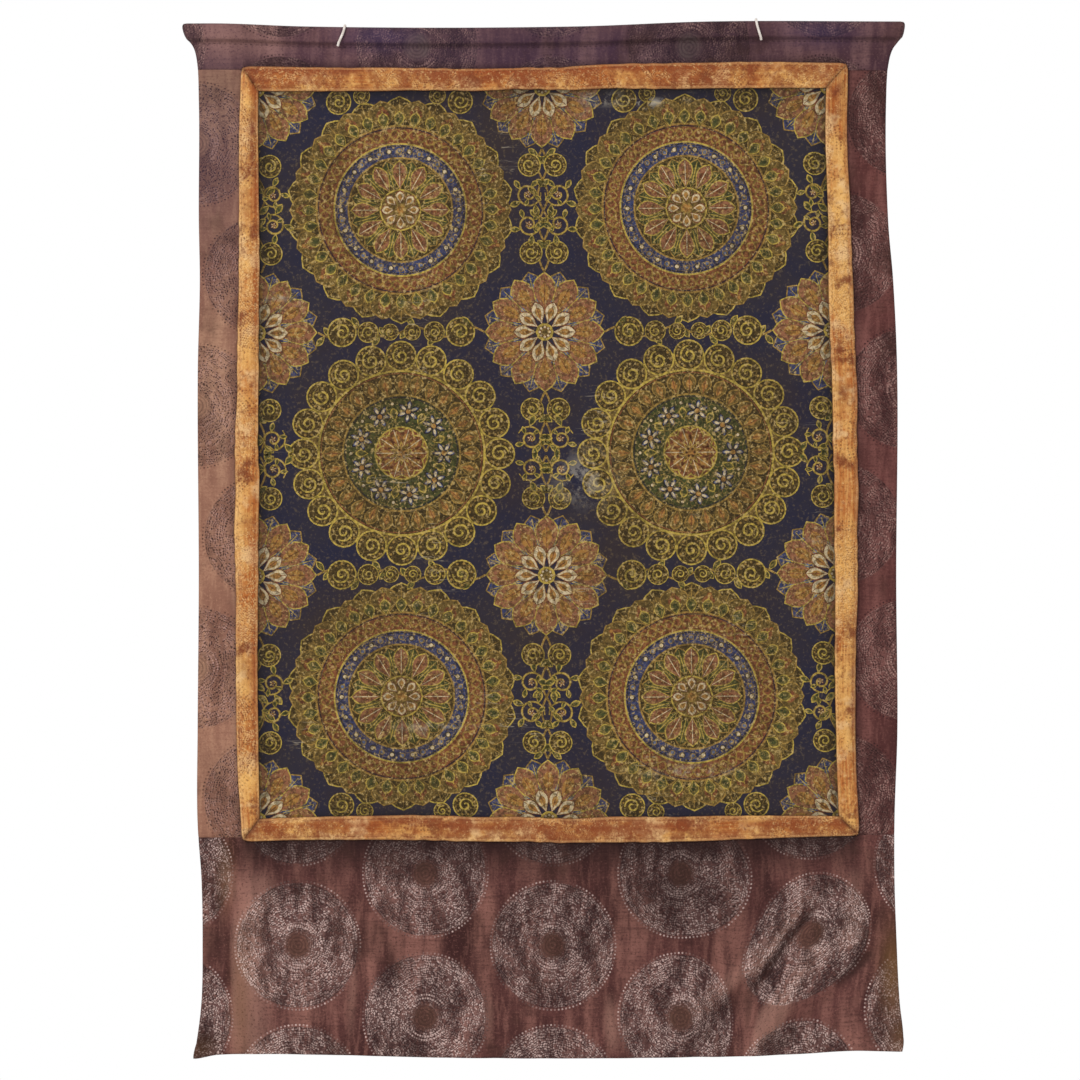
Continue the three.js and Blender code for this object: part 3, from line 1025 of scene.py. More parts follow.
def brocade_finish(name, look):
    """Ribbed silk with dotted roundels in a half-drop repeat, faded with painted highlight along the folds,
    dirty with painted shade in them, and with painted shadow beside the strips.
    """
    f = Finish(name)
    cloth = f.cloth_place()
    u, v, _ = f.parts(cloth)
    patches = f.noise(cloth, 9, 4, 0.6)
    streaks = f.noise(cloth, 16, 3, 0.5, (2.2, 0.45, 1))
    ribs = f.noise(cloth, 1, 3, 0.6, (30, 420, 1))
    threads = f.noise(cloth, 1, 2, 0.6, (170, 28, 1))
    grain = f.noise(cloth, 430, 2, 0.7)
    colour = f.mix(patches.between(0.34, 0.66), look.ground, look.dark)
    # Streaks down the cloth, lighter and darker: uneven silk, and painted light and shade of its soft folds
    colour = f.mix(streaks.between(0.45, 0.7, 0, 0.95), colour, look.light)
    colour = f.mix(streaks.between(0.48, 0.26, 0, 0.75), colour, look.dark)
    colour = f.mix(ribs.between(0.45, 0.68, 0, 0.4), colour, look.dark)
    colour = f.mix(threads.between(0.5, 0.66, 0, 0.35), colour, look.light)
    colour = f.mix(threads.between(0.48, 0.34, 0, 0.36), colour, look.dark)
    # From the folds' rise: ridges worn pale with painted highlight, troughs with dirt and painted shade
    fold_light_and_wear = f.attribute("fold_light_and_wear")
    ridge_highlight_and_wear = fold_light_and_wear.between(0.06, 0.75, 0, 0.78) * streaks.between(0.3, 0.6, 0.7, 1)

    along = u * (1 / MM) - look.start_x
    across = -look.start_drop - v * (1 / MM)
    if look.turned:
        along, across = across, along
    side, rise = roundel(along, across, look.pitch)
    radius, turn = polar(side, rise)
    heart = radius.between(ROUNDEL_HEART - 5, ROUNDEL_HEART + 3, 1, 0)
    field = radius.between(ROUNDEL_RADIUS - 2.6, ROUNDEL_RADIUS - 1.2, 1, 0) * (1 - heart)
    # Ridges worn pale, with painted highlight
    colour = f.mix(ridge_highlight_and_wear * (0.6 + 0.4 * field), colour, WORN_PALE_AND_HIGHLIGHT)
    figure = f.noise(cloth, 40, 4, 0.65, (1.5, 0.6, 1)).between(0.38, 0.62)
    dot_radius, dot_turn = swayed(f, cloth, side, rise)
    dot, chance = woven_dots(f, dot_radius, dot_turn, 0.0)
    gap, gap_chance = woven_dots(f, dot_radius + DOT_PITCH / 2, dot_turn, 0.25)
    silver = dot * chance.between(0.0, 0.75) * (0.15 + 0.85 * figure) * field
    hole = gap * gap_chance.between(0.1, 0.6) * field
    seen = f.noise(cloth, 38, 2, 0.5).between(0.4, 0.56, 0.2, 1)
    rim = dotted_ring(f, radius, turn, ROUNDEL_RADIUS, ROUNDEL_RIM_DOTS, 0.9) * seen
    inner_row = dotted_ring(f, radius, turn, ROUNDEL_RADIUS - ROUNDEL_ROW_GAP, ROUNDEL_INNER_DOTS, 0.8)
    rim = rim.math("MAXIMUM", inner_row * (0.45 * seen))
    arcs = dotted_ring(f, radius, turn, ROUNDEL_HEART + 4.5, 46, 0.9)
    arcs = arcs.math("MAXIMUM", dotted_ring(f, radius, turn, ROUNDEL_HEART + 8, 56, 0.9))
    arcs = arcs * rise.size().between(10, 16, 0, 0.75) * seen
    rim_tone = f.noise(cloth, 11, 1, 0.5).between(0.5, 0.6, 0, 0.85)

    colour = f.mix(field * (0.72 - 0.64 * figure) * look.field_share, colour, FIELD_SHADE)
    colour = f.mix(field * figure * look.tint_share, colour, FIELD_TINT)
    colour = f.mix(heart * (0.55 + 0.3 * figure), colour, look.heart)
    circles = (radius * (2 * math.pi / HEART_CIRCLES)).sine().between(-0.2, 0.9)
    circles = circles * heart * grain.between(0.3, 0.6, 0.4, 1)
    circles = circles.math("MAXIMUM", (radius - ROUNDEL_HEART - 1.5).size().between(0.6, 3.2, 0.5, 0))
    colour = f.mix(circles * 0.5, colour, HEART_LINES)
    colour = f.mix(hole * look.hole_share, colour, HOLES)
    # More silver dots on the ridges: a painted highlight
    colour = f.mix(silver * (look.dot_share + 0.4 * ridge_highlight_and_wear), colour, look.dots)
    colour = f.mix(arcs, colour, look.dots)
    colour = f.mix(rim * 0.9, colour, f.mix(rim_tone, look.rim, DARK_RIM))
    colour = f.mix(grain.between(0.48, 0.3, 0, 0.65), colour, look.dark)
    colour = f.mix(grain.between(0.54, 0.72, 0, 0.5), colour, look.light)

    # Troughs darker: dirt and painted shade
    colour = f.mix(fold_light_and_wear.between(-0.15, -0.95, 0, 0.66), colour, CREASE_DIRT_AND_SHADE)
    colour = f.mix(f.attribute("stain") * 0.7, colour, WATER_STAIN)
    # Violet tone of the silk, with painted sheen on the sleeve
    colour = f.mix(f.attribute("violet_tone_and_sheen") * 0.55, colour, VIOLET_TONE_AND_SHEEN)
    # Painted shadow beside the strips, and the dark patches
    colour = f.mix(f.attribute("shade"), colour, SHADOW_AND_PATCH_DARK)
    soil = f.noise(cloth, 16, 5, 0.65)
    colour = f.mix(soil.between(0.52, 0.7, 0, 0.4), colour, SOIL)
    height = ribs * 0.8 + grain * 0.8
    return f.surface(colour, 0.6 + 0.25 * patches, height, 0.0004, 0.8, sheen=0.03, specular=0.1)


# Colours of the gold silk, its figure and its wear, and of its painted highlights and shade
GOLD_SILK = linear(226, 170, 92)
GOLD_SILK_DARK = linear(176, 98, 36)
SATIN_LIGHT = linear(232, 180, 104)
SILK_DUST_AND_HIGHLIGHT = linear(232, 190, 134)
SHADED_AND_BROWNED_SILK = linear(150, 72, 26)
GOLD_FIELD = linear(166, 92, 36)
GOLD_HOLES = linear(110, 54, 20)
GOLD_DOTS = linear(240, 200, 138)
GOLD_RIM = linear(98, 46, 16)
RUST_STAIN = linear(112, 46, 14)
AGED_SILK = linear(136, 64, 22)
DARK_SPECKS = linear(112, 52, 16)
PALE_SPECKS = linear(236, 194, 130)
EDGE_HIGHLIGHT = linear(236, 190, 130)
GROOVE_SHADE = linear(110, 54, 22)
EDGE_SHADE = linear(90, 46, 22)
MITRE_DIRT = linear(74, 34, 12)


def gold_finish(name, turned, start_x, start_drop, pitch, aged_share):
    """Worn gold silk: dotted roundels cut by the strips, rust stains, bands of painted shade with browning
    and of painted highlight with dust, painted highlight and shade along the rims, and dark mitres.
    """
    f = Finish(name)
    cloth = f.cloth_place()
    place = f.object_place()
    x, _, z = f.parts(place)
    along = x * (1 / MM) - start_x
    across = -start_drop - z * (1 / MM)
    if turned:
        along, across = across, along
    side, rise = roundel(along, across, pitch)
    radius, turn = polar(side, rise)
    inward = f.attribute("inward")
    patches = f.noise(place, 15, 5, 0.65)
    fine = f.noise(place, 75, 4, 0.65)
    speck = f.noise(place, 320, 3, 0.7)
    satin = f.noise(cloth, 1, 3, 0.6, (22, 520, 1))
    colour = f.mix(patches.between(0.38, 0.6), GOLD_SILK, GOLD_SILK_DARK)
    colour = f.mix(satin.between(0.4, 0.65, 0, 0.5), colour, SATIN_LIGHT)
    # Pale patches, and bands of painted highlight with dust
    pale = f.noise(place, 24, 4, 0.65).between(0.5, 0.62, 0, 0.85)
    pale = pale.math("MAXIMUM", f.attribute("dust_and_highlight") * fine.between(0.32, 0.56, 0.35, 1))
    colour = f.mix(pale, colour, SILK_DUST_AND_HIGHLIGHT)
    # Bands of painted shade with browning
    shade_and_browning = f.attribute("shade_and_browning") * f.noise(place, 10, 3, 0.55).between(0.36, 0.58, 0.25, 1)
    colour = f.mix(shade_and_browning, colour, SHADED_AND_BROWNED_SILK)

    field = radius.between(ROUNDEL_RADIUS - 3, ROUNDEL_RADIUS - 1.5, 1, 0)
    faded = f.noise(place, 9, 2, 0.5)
    dot_radius, dot_turn = swayed(f, place, side, rise)
    dot, chance = woven_dots(f, dot_radius, dot_turn, 0.0)
    gap, gap_chance = woven_dots(f, dot_radius + DOT_PITCH / 2, dot_turn, 0.25)
    light = dot * chance.between(0.2, 0.8) * field
    dark = gap * gap_chance.between(0.1, 0.6) * field
    rows = dotted_ring(f, radius, turn, ROUNDEL_RADIUS, GOLD_RIM_DOTS, 1.0)
    for off in (-ROUNDEL_ROW_GAP, ROUNDEL_ROW_GAP):
        row = dotted_ring(f, radius, turn, ROUNDEL_RADIUS + off, GOLD_RIM_DOTS, 0.9)
        rows = rows.math("MAXIMUM", row)
    rows = rows * f.noise(place, 26, 2, 0.5).between(0.4, 0.54, 0.1, 1)
    colour = f.mix(field * faded.between(0.38, 0.62, 0.05, 0.4), colour, GOLD_FIELD)
    colour = f.mix(dark * faded.between(0.38, 0.62, 0.35, 0.8), colour, GOLD_HOLES)
    colour = f.mix(light * 0.4, colour, GOLD_DOTS)
    colour = f.mix(rows * 0.75, colour, GOLD_RIM)

    rust = f.noise(place, 26, 5, 0.7)
    stain = f.attribute("stain") * fine.between(0.36, 0.6, 0.3, 1)
    colour = f.mix(rust.between(0.52, 0.64, 0, 0.85).math("MAXIMUM", stain), colour, RUST_STAIN)
    colour = f.mix(aged_share * fine.between(0.36, 0.62, 0.1, 1.9), colour, AGED_SILK)
    colour = f.mix(speck.between(0.48, 0.3, 0, 0.68), colour, DARK_SPECKS)
    colour = f.mix(speck.between(0.56, 0.74, 0, 0.55), colour, PALE_SPECKS)
    rim = (inward - 0.5).size()
    # Painted highlight along the rolled edges
    edge = rim.between(0.39, 0.43, 0, 0.2) * fine.between(0.35, 0.55, 0.3, 1)
    colour = f.mix(edge, colour, EDGE_HIGHLIGHT)
    # Painted shade in the groove beside each rolled edge
    groove = (rim - GROOVE_AT).size().between(0.008, 0.03, 0.4, 0) * fine.between(0.4, 0.55)
    colour = f.mix(groove, colour, GROOVE_SHADE)
    # Painted shade at the very edges, where the strip turns under
    colour = f.mix(rim.between(0.475, 0.5, 0, 0.6), colour, EDGE_SHADE)
    colour = f.mix(f.attribute("mitre") * fine.between(0.3, 0.6, 0.2, 0.65), colour, MITRE_DIRT)
    height = satin * 0.8 + fine * 1.8 + speck * 0.8
    return f.surface(colour, 0.5 + 0.25 * patches, height, 0.0008, 0.9, sheen=0.05, specular=0.25)


# Colours of old paint, of what shows where it is lost, and of the painted shadow beside the strips
OLD_VARNISH = linear(62, 46, 28)
DARK_BRUSH = linear(30, 24, 14)
GOLD_GLINTS = linear(190, 162, 104)
BARE_CHALK = linear(196, 186, 170)
CRACKED_PAINT = linear(172, 160, 140)
STRIP_SHADOW_ON_CANVAS = linear(16, 13, 14)
FINE_LINES = linear(154, 126, 66)


def aged(f, place, colour, speckle):
    """Old paint: uneven varnish, fine brush work, lost flecks and fine cracks across the canvas, and painted
    shadow beside the strips.
    """
    varnish = f.noise(place, 9, 4, 0.6)
    colour = f.mix(varnish.between(0.4, 0.68, 0, 0.35), colour, OLD_VARNISH)
    brush = f.noise(place, 260, 3, 0.7)
    colour = f.mix(brush.between(0.42, 0.6, 0, 0.6) * speckle, colour, DARK_BRUSH)
    glints = f.noise(place, 340, 2, 0.6)
    colour = f.mix(glints.between(0.54, 0.7, 0, 0.65) * speckle, colour, GOLD_GLINTS)
    lost = f.noise(place, 46, 8, 0.75)
    bare = lost.between(0.7, 0.725, 0, 0.75)
    bare = bare.math("MAXIMUM", f.attribute("scuff") * lost.between(0.46, 0.56, 0, 0.85))
    colour = f.mix(bare, colour, BARE_CHALK)
    cracks = f.noise(place, 34, 3, 0.6, (0.25, 1, 2.6))
    line = (cracks - 0.5).size().between(0.0015, 0.006, 0.45, 0)
    few = f.noise(place, 12, 2, 0.5).between(0.58, 0.68)
    colour = f.mix(line * few, colour, CRACKED_PAINT)
    # Painted shadow beside the strips
    colour = f.mix(f.attribute("shade"), colour, STRIP_SHADOW_ON_CANVAS)
    return colour, varnish, brush


def canvas_finish():
    """The canvas's dark blue ground."""
    f = Finish("canvas_ground")
    place = f.object_place()
    wash = f.noise(place, 14, 4, 0.6)
    colour = f.mix(wash.between(0.35, 0.68), linear(36, 35, 54), linear(46, 41, 50))
    colour, varnish, brush = aged(f, place, colour, 0.14)
    return f.surface(colour, 0.55 + 0.25 * varnish, brush, 0.00015, 0.5, specular=0.12)


def paint_finish():
    """Paint laid on the canvas, in the colour that each brush mark carries, with fine gold line work."""
    f = Finish("canvas_paint")
    place = f.object_place()
    colour = f.attribute("paint", "Color")
    flat_x, _, flat_z = f.parts(place)
    flat = f.node("ShaderNodeCombineXYZ", None, {0: flat_x, 1: flat_z})
    settings = {"voronoi_dimensions": "2D", "feature": "DISTANCE_TO_EDGE"}
    web = f.node("ShaderNodeTexVoronoi", settings, {"Vector": flat, "Scale": 230.0})
    where = f.noise(place, 60, 2, 0.5).between(0.42, 0.58, 0.1, 0.5)
    colour = f.mix(web.between(0.04, 0.16, 1, 0) * where, colour, FINE_LINES)
    colour, varnish, brush = aged(f, place, colour, 1.0)
    return f.surface(colour, 0.5 + 0.3 * varnish, brush, 0.0002, 0.6, specular=0.12)


# The canvas's weave, in millimetres
CANVAS_THREAD = 1.4


def canvas_back_finish():
    """The bare back of the canvas: plain weave with brown stains."""
    f = Finish("canvas_back")
    cloth = f.cloth_place()
    u, v, _ = f.parts(cloth)
    stains = f.noise(cloth, 6, 5, 0.65)
    colour = f.mix(stains.between(0.35, 0.7), linear(176, 156, 126), linear(124, 100, 74))
    turns = 2 * math.pi / (CANVAS_THREAD * MM)
    weave = (u * turns).sine() * (v * turns).sine()
    colour = f.mix(weave.between(-0.6, 0.8, 0.25, 0), colour, linear(96, 78, 58))
    return f.surface(colour, 0.85 + 0.1 * stains, weave, 0.0002, 0.6, sheen=0.2)


def cotton_finish():
    """White cotton with a little dust in patches."""
    f = Finish("cotton_cord")
    place = f.object_place()
    fibres = f.noise(place, 1400, 3, 0.6)
    dust = f.noise(place, 160, 3, 0.6)
    colour = f.mix(dust.between(0.4, 0.7, 0, 0.6), linear(232, 222, 214), linear(196, 178, 166))
    return f.surface(colour, 0.8 + 0.1 * dust, fibres, 0.0002, 0.5, sheen=0.3)


def thread_finish(name, light, dark):
    """Sewing thread, in two shades close to its silk."""
    f = Finish(name)
    place = f.object_place()
    fibres = f.noise(place, 900, 2, 0.5)
    colour = f.mix(fibres.between(0.35, 0.7), light, dark)
    return f.surface(colour, 0.7 + 0.2 * fibres, fibres, 0.0001, 0.5)


# Painted design: flat shapes in millimetres about the middle of the canvas, later laid on it

# Half the painted field, how far paint stands off the canvas and laps the strips, and one layer's height
HALF_WIDTH = 286.5
HALF_HEIGHT = 364.0
PAINT_LIFT = 0.14
PAINT_LAP = 2.0
LAYER = 0.022

# Paint colours
NAVY = linear(32, 30, 46)
DEEP_OLIVE = linear(66, 52, 26)
OLIVE = linear(106, 84, 42)
GOLD = linear(150, 118, 58)
YELLOW = linear(182, 156, 70)
GREEN = linear(64, 68, 36)
MOSS = linear(98, 90, 46)
ROSE = linear(138, 90, 64)
RUST = linear(120, 70, 44)
CREAM = linear(206, 186, 150)
OCHRE = linear(158, 112, 56)
SLATE = linear(92, 104, 132)
BLUE = linear(52, 60, 96)

# How finely shapes are drawn, and how stems and tendrils run
LEAF_STEPS = 9
LEAF_TIP = 0.15
BAND_STEPS = 96
BAND_ROW = 12
SPIRAL_STEPS = 40
STEM_SWAY = 5
STEM_STEPS = 16
LEAF_EVERY = 8
LEAF_LEAN = 0.9
TENDRIL_TURNS = 1.7


class Motif:
    """Filled outlines and brush strokes, each with its colour and layer."""

    def __init__(self):
        self.points = []
        self.faces = []
        self.colours = []

    def fill(self, outline, colour, layer):
        start = len(self.points)
        self.points.extend((x, y, layer * LAYER) for x, y in outline)
        self.faces.append(tuple(range(start, start + len(outline))))
        self.colours.append(colour)

    def ribbon(self, line, halves, colour, layer):
        """A strip along a line, with its half width at each point."""
        line = np.array(line, float)
        ahead = np.gradient(line, axis=0)
        ahead /= np.maximum(np.linalg.norm(ahead, axis=1, keepdims=True), 1e-9)
        side = np.stack([-ahead[:, 1], ahead[:, 0]], -1)
        start = len(self.points)
        for place, off, half in zip(line, side, halves):
            for way in (1, -1):
                x, y = place + way * half * off
                self.points.append((x, y, layer * LAYER))
        for k in range(len(line) - 1):
            a = start + 2 * k
            self.faces.append((a, a + 1, a + 3, a + 2))
            self.colours.append(colour)

    def stroke(self, line, width, colour, layer, taper=0.0):
        """A brush line, thinner at both ends by the share taper."""
        shares = np.linspace(-1, 1, len(line))
        self.ribbon(line, width / 2 * (1 - taper * shares**4), colour, layer)

    def leaf(self, start, length, width, fullness, colour, layer):
        """A petal along +X: fullness under 1 puts its widest place nearer the tip."""
        shares = np.linspace(0, 1, LEAF_STEPS)
        halves = width / 2 * np.sin(math.pi * shares ** (1 / fullness)) ** 0.8
        self.ribbon([(start + length * s, 0) for s in shares], np.maximum(halves, LEAF_TIP), colour, layer)

    def band(self, inner, outer, colour, layer):
        """A flat ring about the middle, in cells small enough to follow the canvas."""
        rows = math.ceil((outer - inner) / BAND_ROW)
        start = len(self.points)
        turns = np.linspace(0, 2 * math.pi, BAND_STEPS, endpoint=False)
        for radius in np.linspace(inner, outer, rows + 1):
            self.points.extend((radius * math.cos(t), radius * math.sin(t), layer * LAYER) for t in turns)
        for row in range(rows):
            for k in range(BAND_STEPS):
                a = start + row * BAND_STEPS + k
                b = start + row * BAND_STEPS + (k + 1) % BAND_STEPS
                self.faces.append((a, a + BAND_STEPS, b + BAND_STEPS, b))
                self.colours.append(colour)

    def add(self, other, place=(0, 0), turn=0.0, size=1.0, flip=(1, 1)):
        """Another motif, turned, sized, mirrored and moved."""
        start = len(self.points)
        cos, sin = math.cos(turn), math.sin(turn)
        for x, y, z in other.points:
            x, y = size * (x * cos - y * sin), size * (x * sin + y * cos)
            self.points.append((flip[0] * (x + place[0]), flip[1] * (y + place[1]), z))
        mirrored = flip[0] * flip[1] < 0
        for face in other.faces:
            moved = tuple(start + k for k in face)
            self.faces.append(moved[::-1] if mirrored else moved)
        self.colours.extend(other.colours)

    def mesh(self, name):
        mesh = bpy.data.meshes.new(name)
        mesh.from_pydata(self.points, [], self.faces)
        paint = mesh.attributes.new("paint", "FLOAT_COLOR", "FACE")
        paint.data.foreach_set("color", np.array(self.colours, np.float32).ravel())
        return mesh


def circle(radius, steps=12, centre=(0, 0)):
    turns = np.linspace(0, 2 * math.pi, steps, endpoint=False)
    return [(centre[0] + radius * math.cos(t), centre[1] + radius * math.sin(t)) for t in turns]


def petal(length, width, edge, body, heart, vein=None, fullness=0.8, layer=3):
    """A painted petal: its outline, body, pale heart and vein."""
    motif = Motif()
    motif.leaf(0, length, width, fullness, edge, layer)
    motif.leaf(1.1, length - 2.6, width - 2.2, fullness, body, layer + 1)
    motif.leaf(length * 0.18, length * 0.55, width * 0.45, fullness, heart, layer + 2)
    if vein:
        motif.stroke([(length * s, 0) for s in (0.1, 0.4, 0.7, 0.9)], 0.9, vein, layer + 3, 0.5)
    return motif


def bead(radius, colour, edge=DEEP_OLIVE, layer=4):
    motif = Motif()
    motif.fill(circle(radius, 10), edge, layer)
    motif.fill(circle(radius * 0.68, 10), colour, layer + 1)
    return motif


def flower(radius, petals, edge, body, heart, seed, layer=4):
    motif = Motif()
    one = petal(radius, radius * 2.5 / petals * 1.1, edge, body, heart, None, 0.75, layer)
    for k in range(petals):
        motif.add(one, turn=2 * math.pi * k / petals)
    motif.fill(circle(radius * 0.3), edge, layer + 4)
    motif.fill(circle(radius * 0.2), seed, layer + 5)
    return motif


def spiral(start, end, turns):
    shares = np.linspace(0, 1, SPIRAL_STEPS)
    radius = lerp(start, end, shares)
    angle = 2 * math.pi * turns * shares
    return np.stack([radius * np.cos(angle), radius * np.sin(angle)], -1)


def scroll(size, line, body, layer=3):
    """A rolled scroll: a dark round, a yellow line that winds into it, and a row of pearls along its rim."""
    motif = Motif()
    motif.fill(circle(size * 1.06, 20), line, layer)
    motif.fill(circle(size * 0.95, 20), body, layer + 1)
    motif.stroke(spiral(size * 0.62, size * 0.1, 1.4), size * 0.14, line, layer + 2, 0.4)
    for k in range(9):
        turn = 0.5 + 2 * math.pi * k / 11
        pearl = (0.79 * size * math.cos(turn), 0.79 * size * math.sin(turn))
        motif.fill(circle(size * 0.09, 8, pearl), GOLD, layer + 2)
    return motif


def new_tree(name, inputs):
    """A tree with these named inputs. Gives it and the sockets that hold them."""
    tree = bpy.data.node_groups.new(name, "GeometryNodeTree")
    tree.interface.new_socket("Geometry", in_out="OUTPUT", socket_type="NodeSocketGeometry")
    for label, kind in inputs.items():
        tree.interface.new_socket(label, in_out="INPUT", socket_type="NodeSocket" + kind)
    return tree, tree.nodes.new("NodeGroupInput").outputs


def add_node(tree, kind, inputs, **settings):
    made = tree.nodes.new(kind)
    for key, value in settings.items():
        setattr(made, key, value)
    for key, value in inputs.items():
        if isinstance(value, bpy.types.NodeSocket):
            tree.links.new(value, made.inputs[key])
        else:
            made.inputs[key].default_value = value
    return made.outputs[0]


def finish_tree(tree, points, motif, rotation, material):
    """The end of each tree: a motif on every point, realized, with its material."""
    info = add_node(tree, "GeometryNodeObjectInfo", {"Object": motif, "As Instance": True}).node
    inputs = {"Points": points, "Instance": info.outputs["Geometry"], "Rotation": rotation}
    placed = add_node(tree, "GeometryNodeInstanceOnPoints", inputs)
    real = add_node(tree, "GeometryNodeRealizeInstances", {"Geometry": placed})
    dressed = add_node(tree, "GeometryNodeSetMaterial", {"Geometry": real, "Material": material})
    tree.links.new(dressed, tree.nodes.new("NodeGroupOutput").inputs[0])


def ring_tree(material):
    """Motifs round a circle, each pointing outwards. Inputs: the motif, how many, the radius and a turn."""
    inputs = {"Motif": "Object", "Count": "Int", "Radius": "Float", "Turn": "Vector"}
    tree, given = new_tree("motifs_round_ring", inputs)
    ring = add_node(tree, "GeometryNodeMeshCircle", {"Vertices": given["Count"], "Radius": given["Radius"]})
    turned = add_node(tree, "GeometryNodeTransform", {"Geometry": ring, "Rotation": given["Turn"]})
    outwards = add_node(tree, "GeometryNodeInputPosition", {})
    align = "FunctionNodeAlignRotationToVector"
    rotation = add_node(tree, align, {"Vector": outwards}, axis="X", pivot_axis="Z")
    finish_tree(tree, turned, given["Motif"], rotation, material)
    return tree


def spread_tree(material):
    """A motif at every point of a mesh. Inputs: the points and the motif."""
    tree, given = new_tree("motifs_at_places", {"Geometry": "Geometry", "Motif": "Object"})
    finish_tree(tree, given["Geometry"], given["Motif"], (0, 0, 0), material)
    return tree


def path_tree(material):
    """Motifs along a line of edges, each pointing along it. Inputs: the motif and the spacing."""
    inputs = {"Geometry": "Geometry", "Motif": "Object", "Spacing": "Float"}
    tree, given = new_tree("motifs_along_path", inputs)
    curve = add_node(tree, "GeometryNodeMeshToCurve", {"Mesh": given["Geometry"]})
    resampled = {"Curve": curve, "Length": given["Spacing"]}
    spaced = add_node(tree, "GeometryNodeResampleCurve", resampled, mode="LENGTH")
    tangent = add_node(tree, "GeometryNodeInputTangent", {})
    rotation = add_node(tree, "FunctionNodeAlignRotationToVector", {"Vector": tangent}, axis="X")
    finish_tree(tree, spaced, given["Motif"], rotation, material)
    return tree


def grown_mesh(tree, values, base=None):
    """The plain mesh that a tree makes from a base mesh with these named inputs."""
    holder = add_object("grown", base or bpy.data.meshes.new("grown"))
    modifier = holder.modifiers.new("grown", "NODES")
    modifier.node_group = tree
    sockets = {item.name: item for item in tree.interface.items_tree if item.in_out == "INPUT"}
    for name, value in values.items():
        modifier[sockets[name].identifier] = value
    evaluated = holder.evaluated_get(bpy.context.evaluated_depsgraph_get())
    mesh = bpy.data.meshes.new_from_object(evaluated)
    holder.modifiers.clear()
    bpy.data.objects.remove(holder)
    return mesh


class Design:
    """Collects flat painted meshes, and lays them on the canvas as one piece."""

    def __init__(self, trees):
        self.trees = trees
        self.shape = bmesh.new()

    def lay(self, mesh):
        self.shape.from_mesh(mesh)
        bpy.data.meshes.remove(mesh)

    def flat(self, motif):
        self.lay(motif.mesh("flat"))

    def ring(self, motif, count, radius, turn=0.0):
        """A motif all round a circle."""
        shown = add_object("motif", motif.mesh("motif"))
        values = {"Motif": shown, "Count": count, "Radius": radius, "Turn": (0.0, 0.0, turn)}
        self.lay(grown_mesh(self.trees["ring"], values))
        bpy.data.objects.remove(shown)

    def spread(self, design, places):
        """A whole smaller design at each of several places."""
        shown = add_object("design", design.mesh("design"))
        points = bpy.data.meshes.new("places")
        points.from_pydata([(x, y, 0) for x, y in places], [], [])
        self.lay(grown_mesh(self.trees["spread"], {"Motif": shown}, points))
        bpy.data.objects.remove(shown)

    def mesh(self, name):
        return plain_mesh(name, self.shape)

    def piece(self, name, material):
        """Cut the flat shapes at the canvas's edges and lay them on its surface."""
        for normal, reach in (((1, 0, 0), HALF_WIDTH), ((0, 1, 0), HALF_HEIGHT)):
            for way in (1, -1):
                out = Vector(normal) * way
                bmesh.ops.bisect_plane(
                    self.shape,
                    geom=[*self.shape.verts, *self.shape.edges, *self.shape.faces],
                    plane_co=out * reach,
                    plane_no=out,
                    clear_outer=True,
                )
        mesh = self.mesh(name)
        flat = np.empty(len(mesh.vertices) * 3)
        mesh.vertices.foreach_get("co", flat)
        flat = flat.reshape(-1, 3)
        across = (flat[:, 0] / HALF_WIDTH + 1) / 2
        down = (1 - flat[:, 1] / HALF_HEIGHT) / 2
        x, drop = canvas_place(across, down, PAINT_LAP)
        depth = hang(x, drop) - PAINT_LIFT - flat[:, 2]
        mesh.vertices.foreach_set("co", (np.stack([x, depth, -drop], -1) * MM).ravel())
        for mark, values in canvas_marks(x, drop).items():
            mesh.attributes.new(mark, "FLOAT", "POINT").data.foreach_set("value", values)
        dress(mesh, material)
        mesh.polygons.foreach_set("use_smooth", np.ones(len(mesh.polygons), bool))
        mesh.update()
        return add_object(name, mesh)


def wavy_ring(radius, height=0.0, waves=1, phase=0.0, steps=240):
    """A closed line round the middle, waved in and out."""
    turns = np.linspace(0, 2 * math.pi, steps + 1)
    out = radius + height * np.sin(waves * turns + phase)
    return np.stack([out * np.cos(turns), out * np.sin(turns)], -1)


def ringed_ground(bands, lines):
    """The flat ground of a wheel: bands from the middle outwards, and ring lines on them."""
    ground = Motif()
    inner = 0
    for outer, colour in bands:
        ground.band(inner, outer, colour, 0)
        inner = outer
    for radius, width, colour in lines:
        ground.stroke(wavy_ring(radius), width, colour, 2)
    return ground


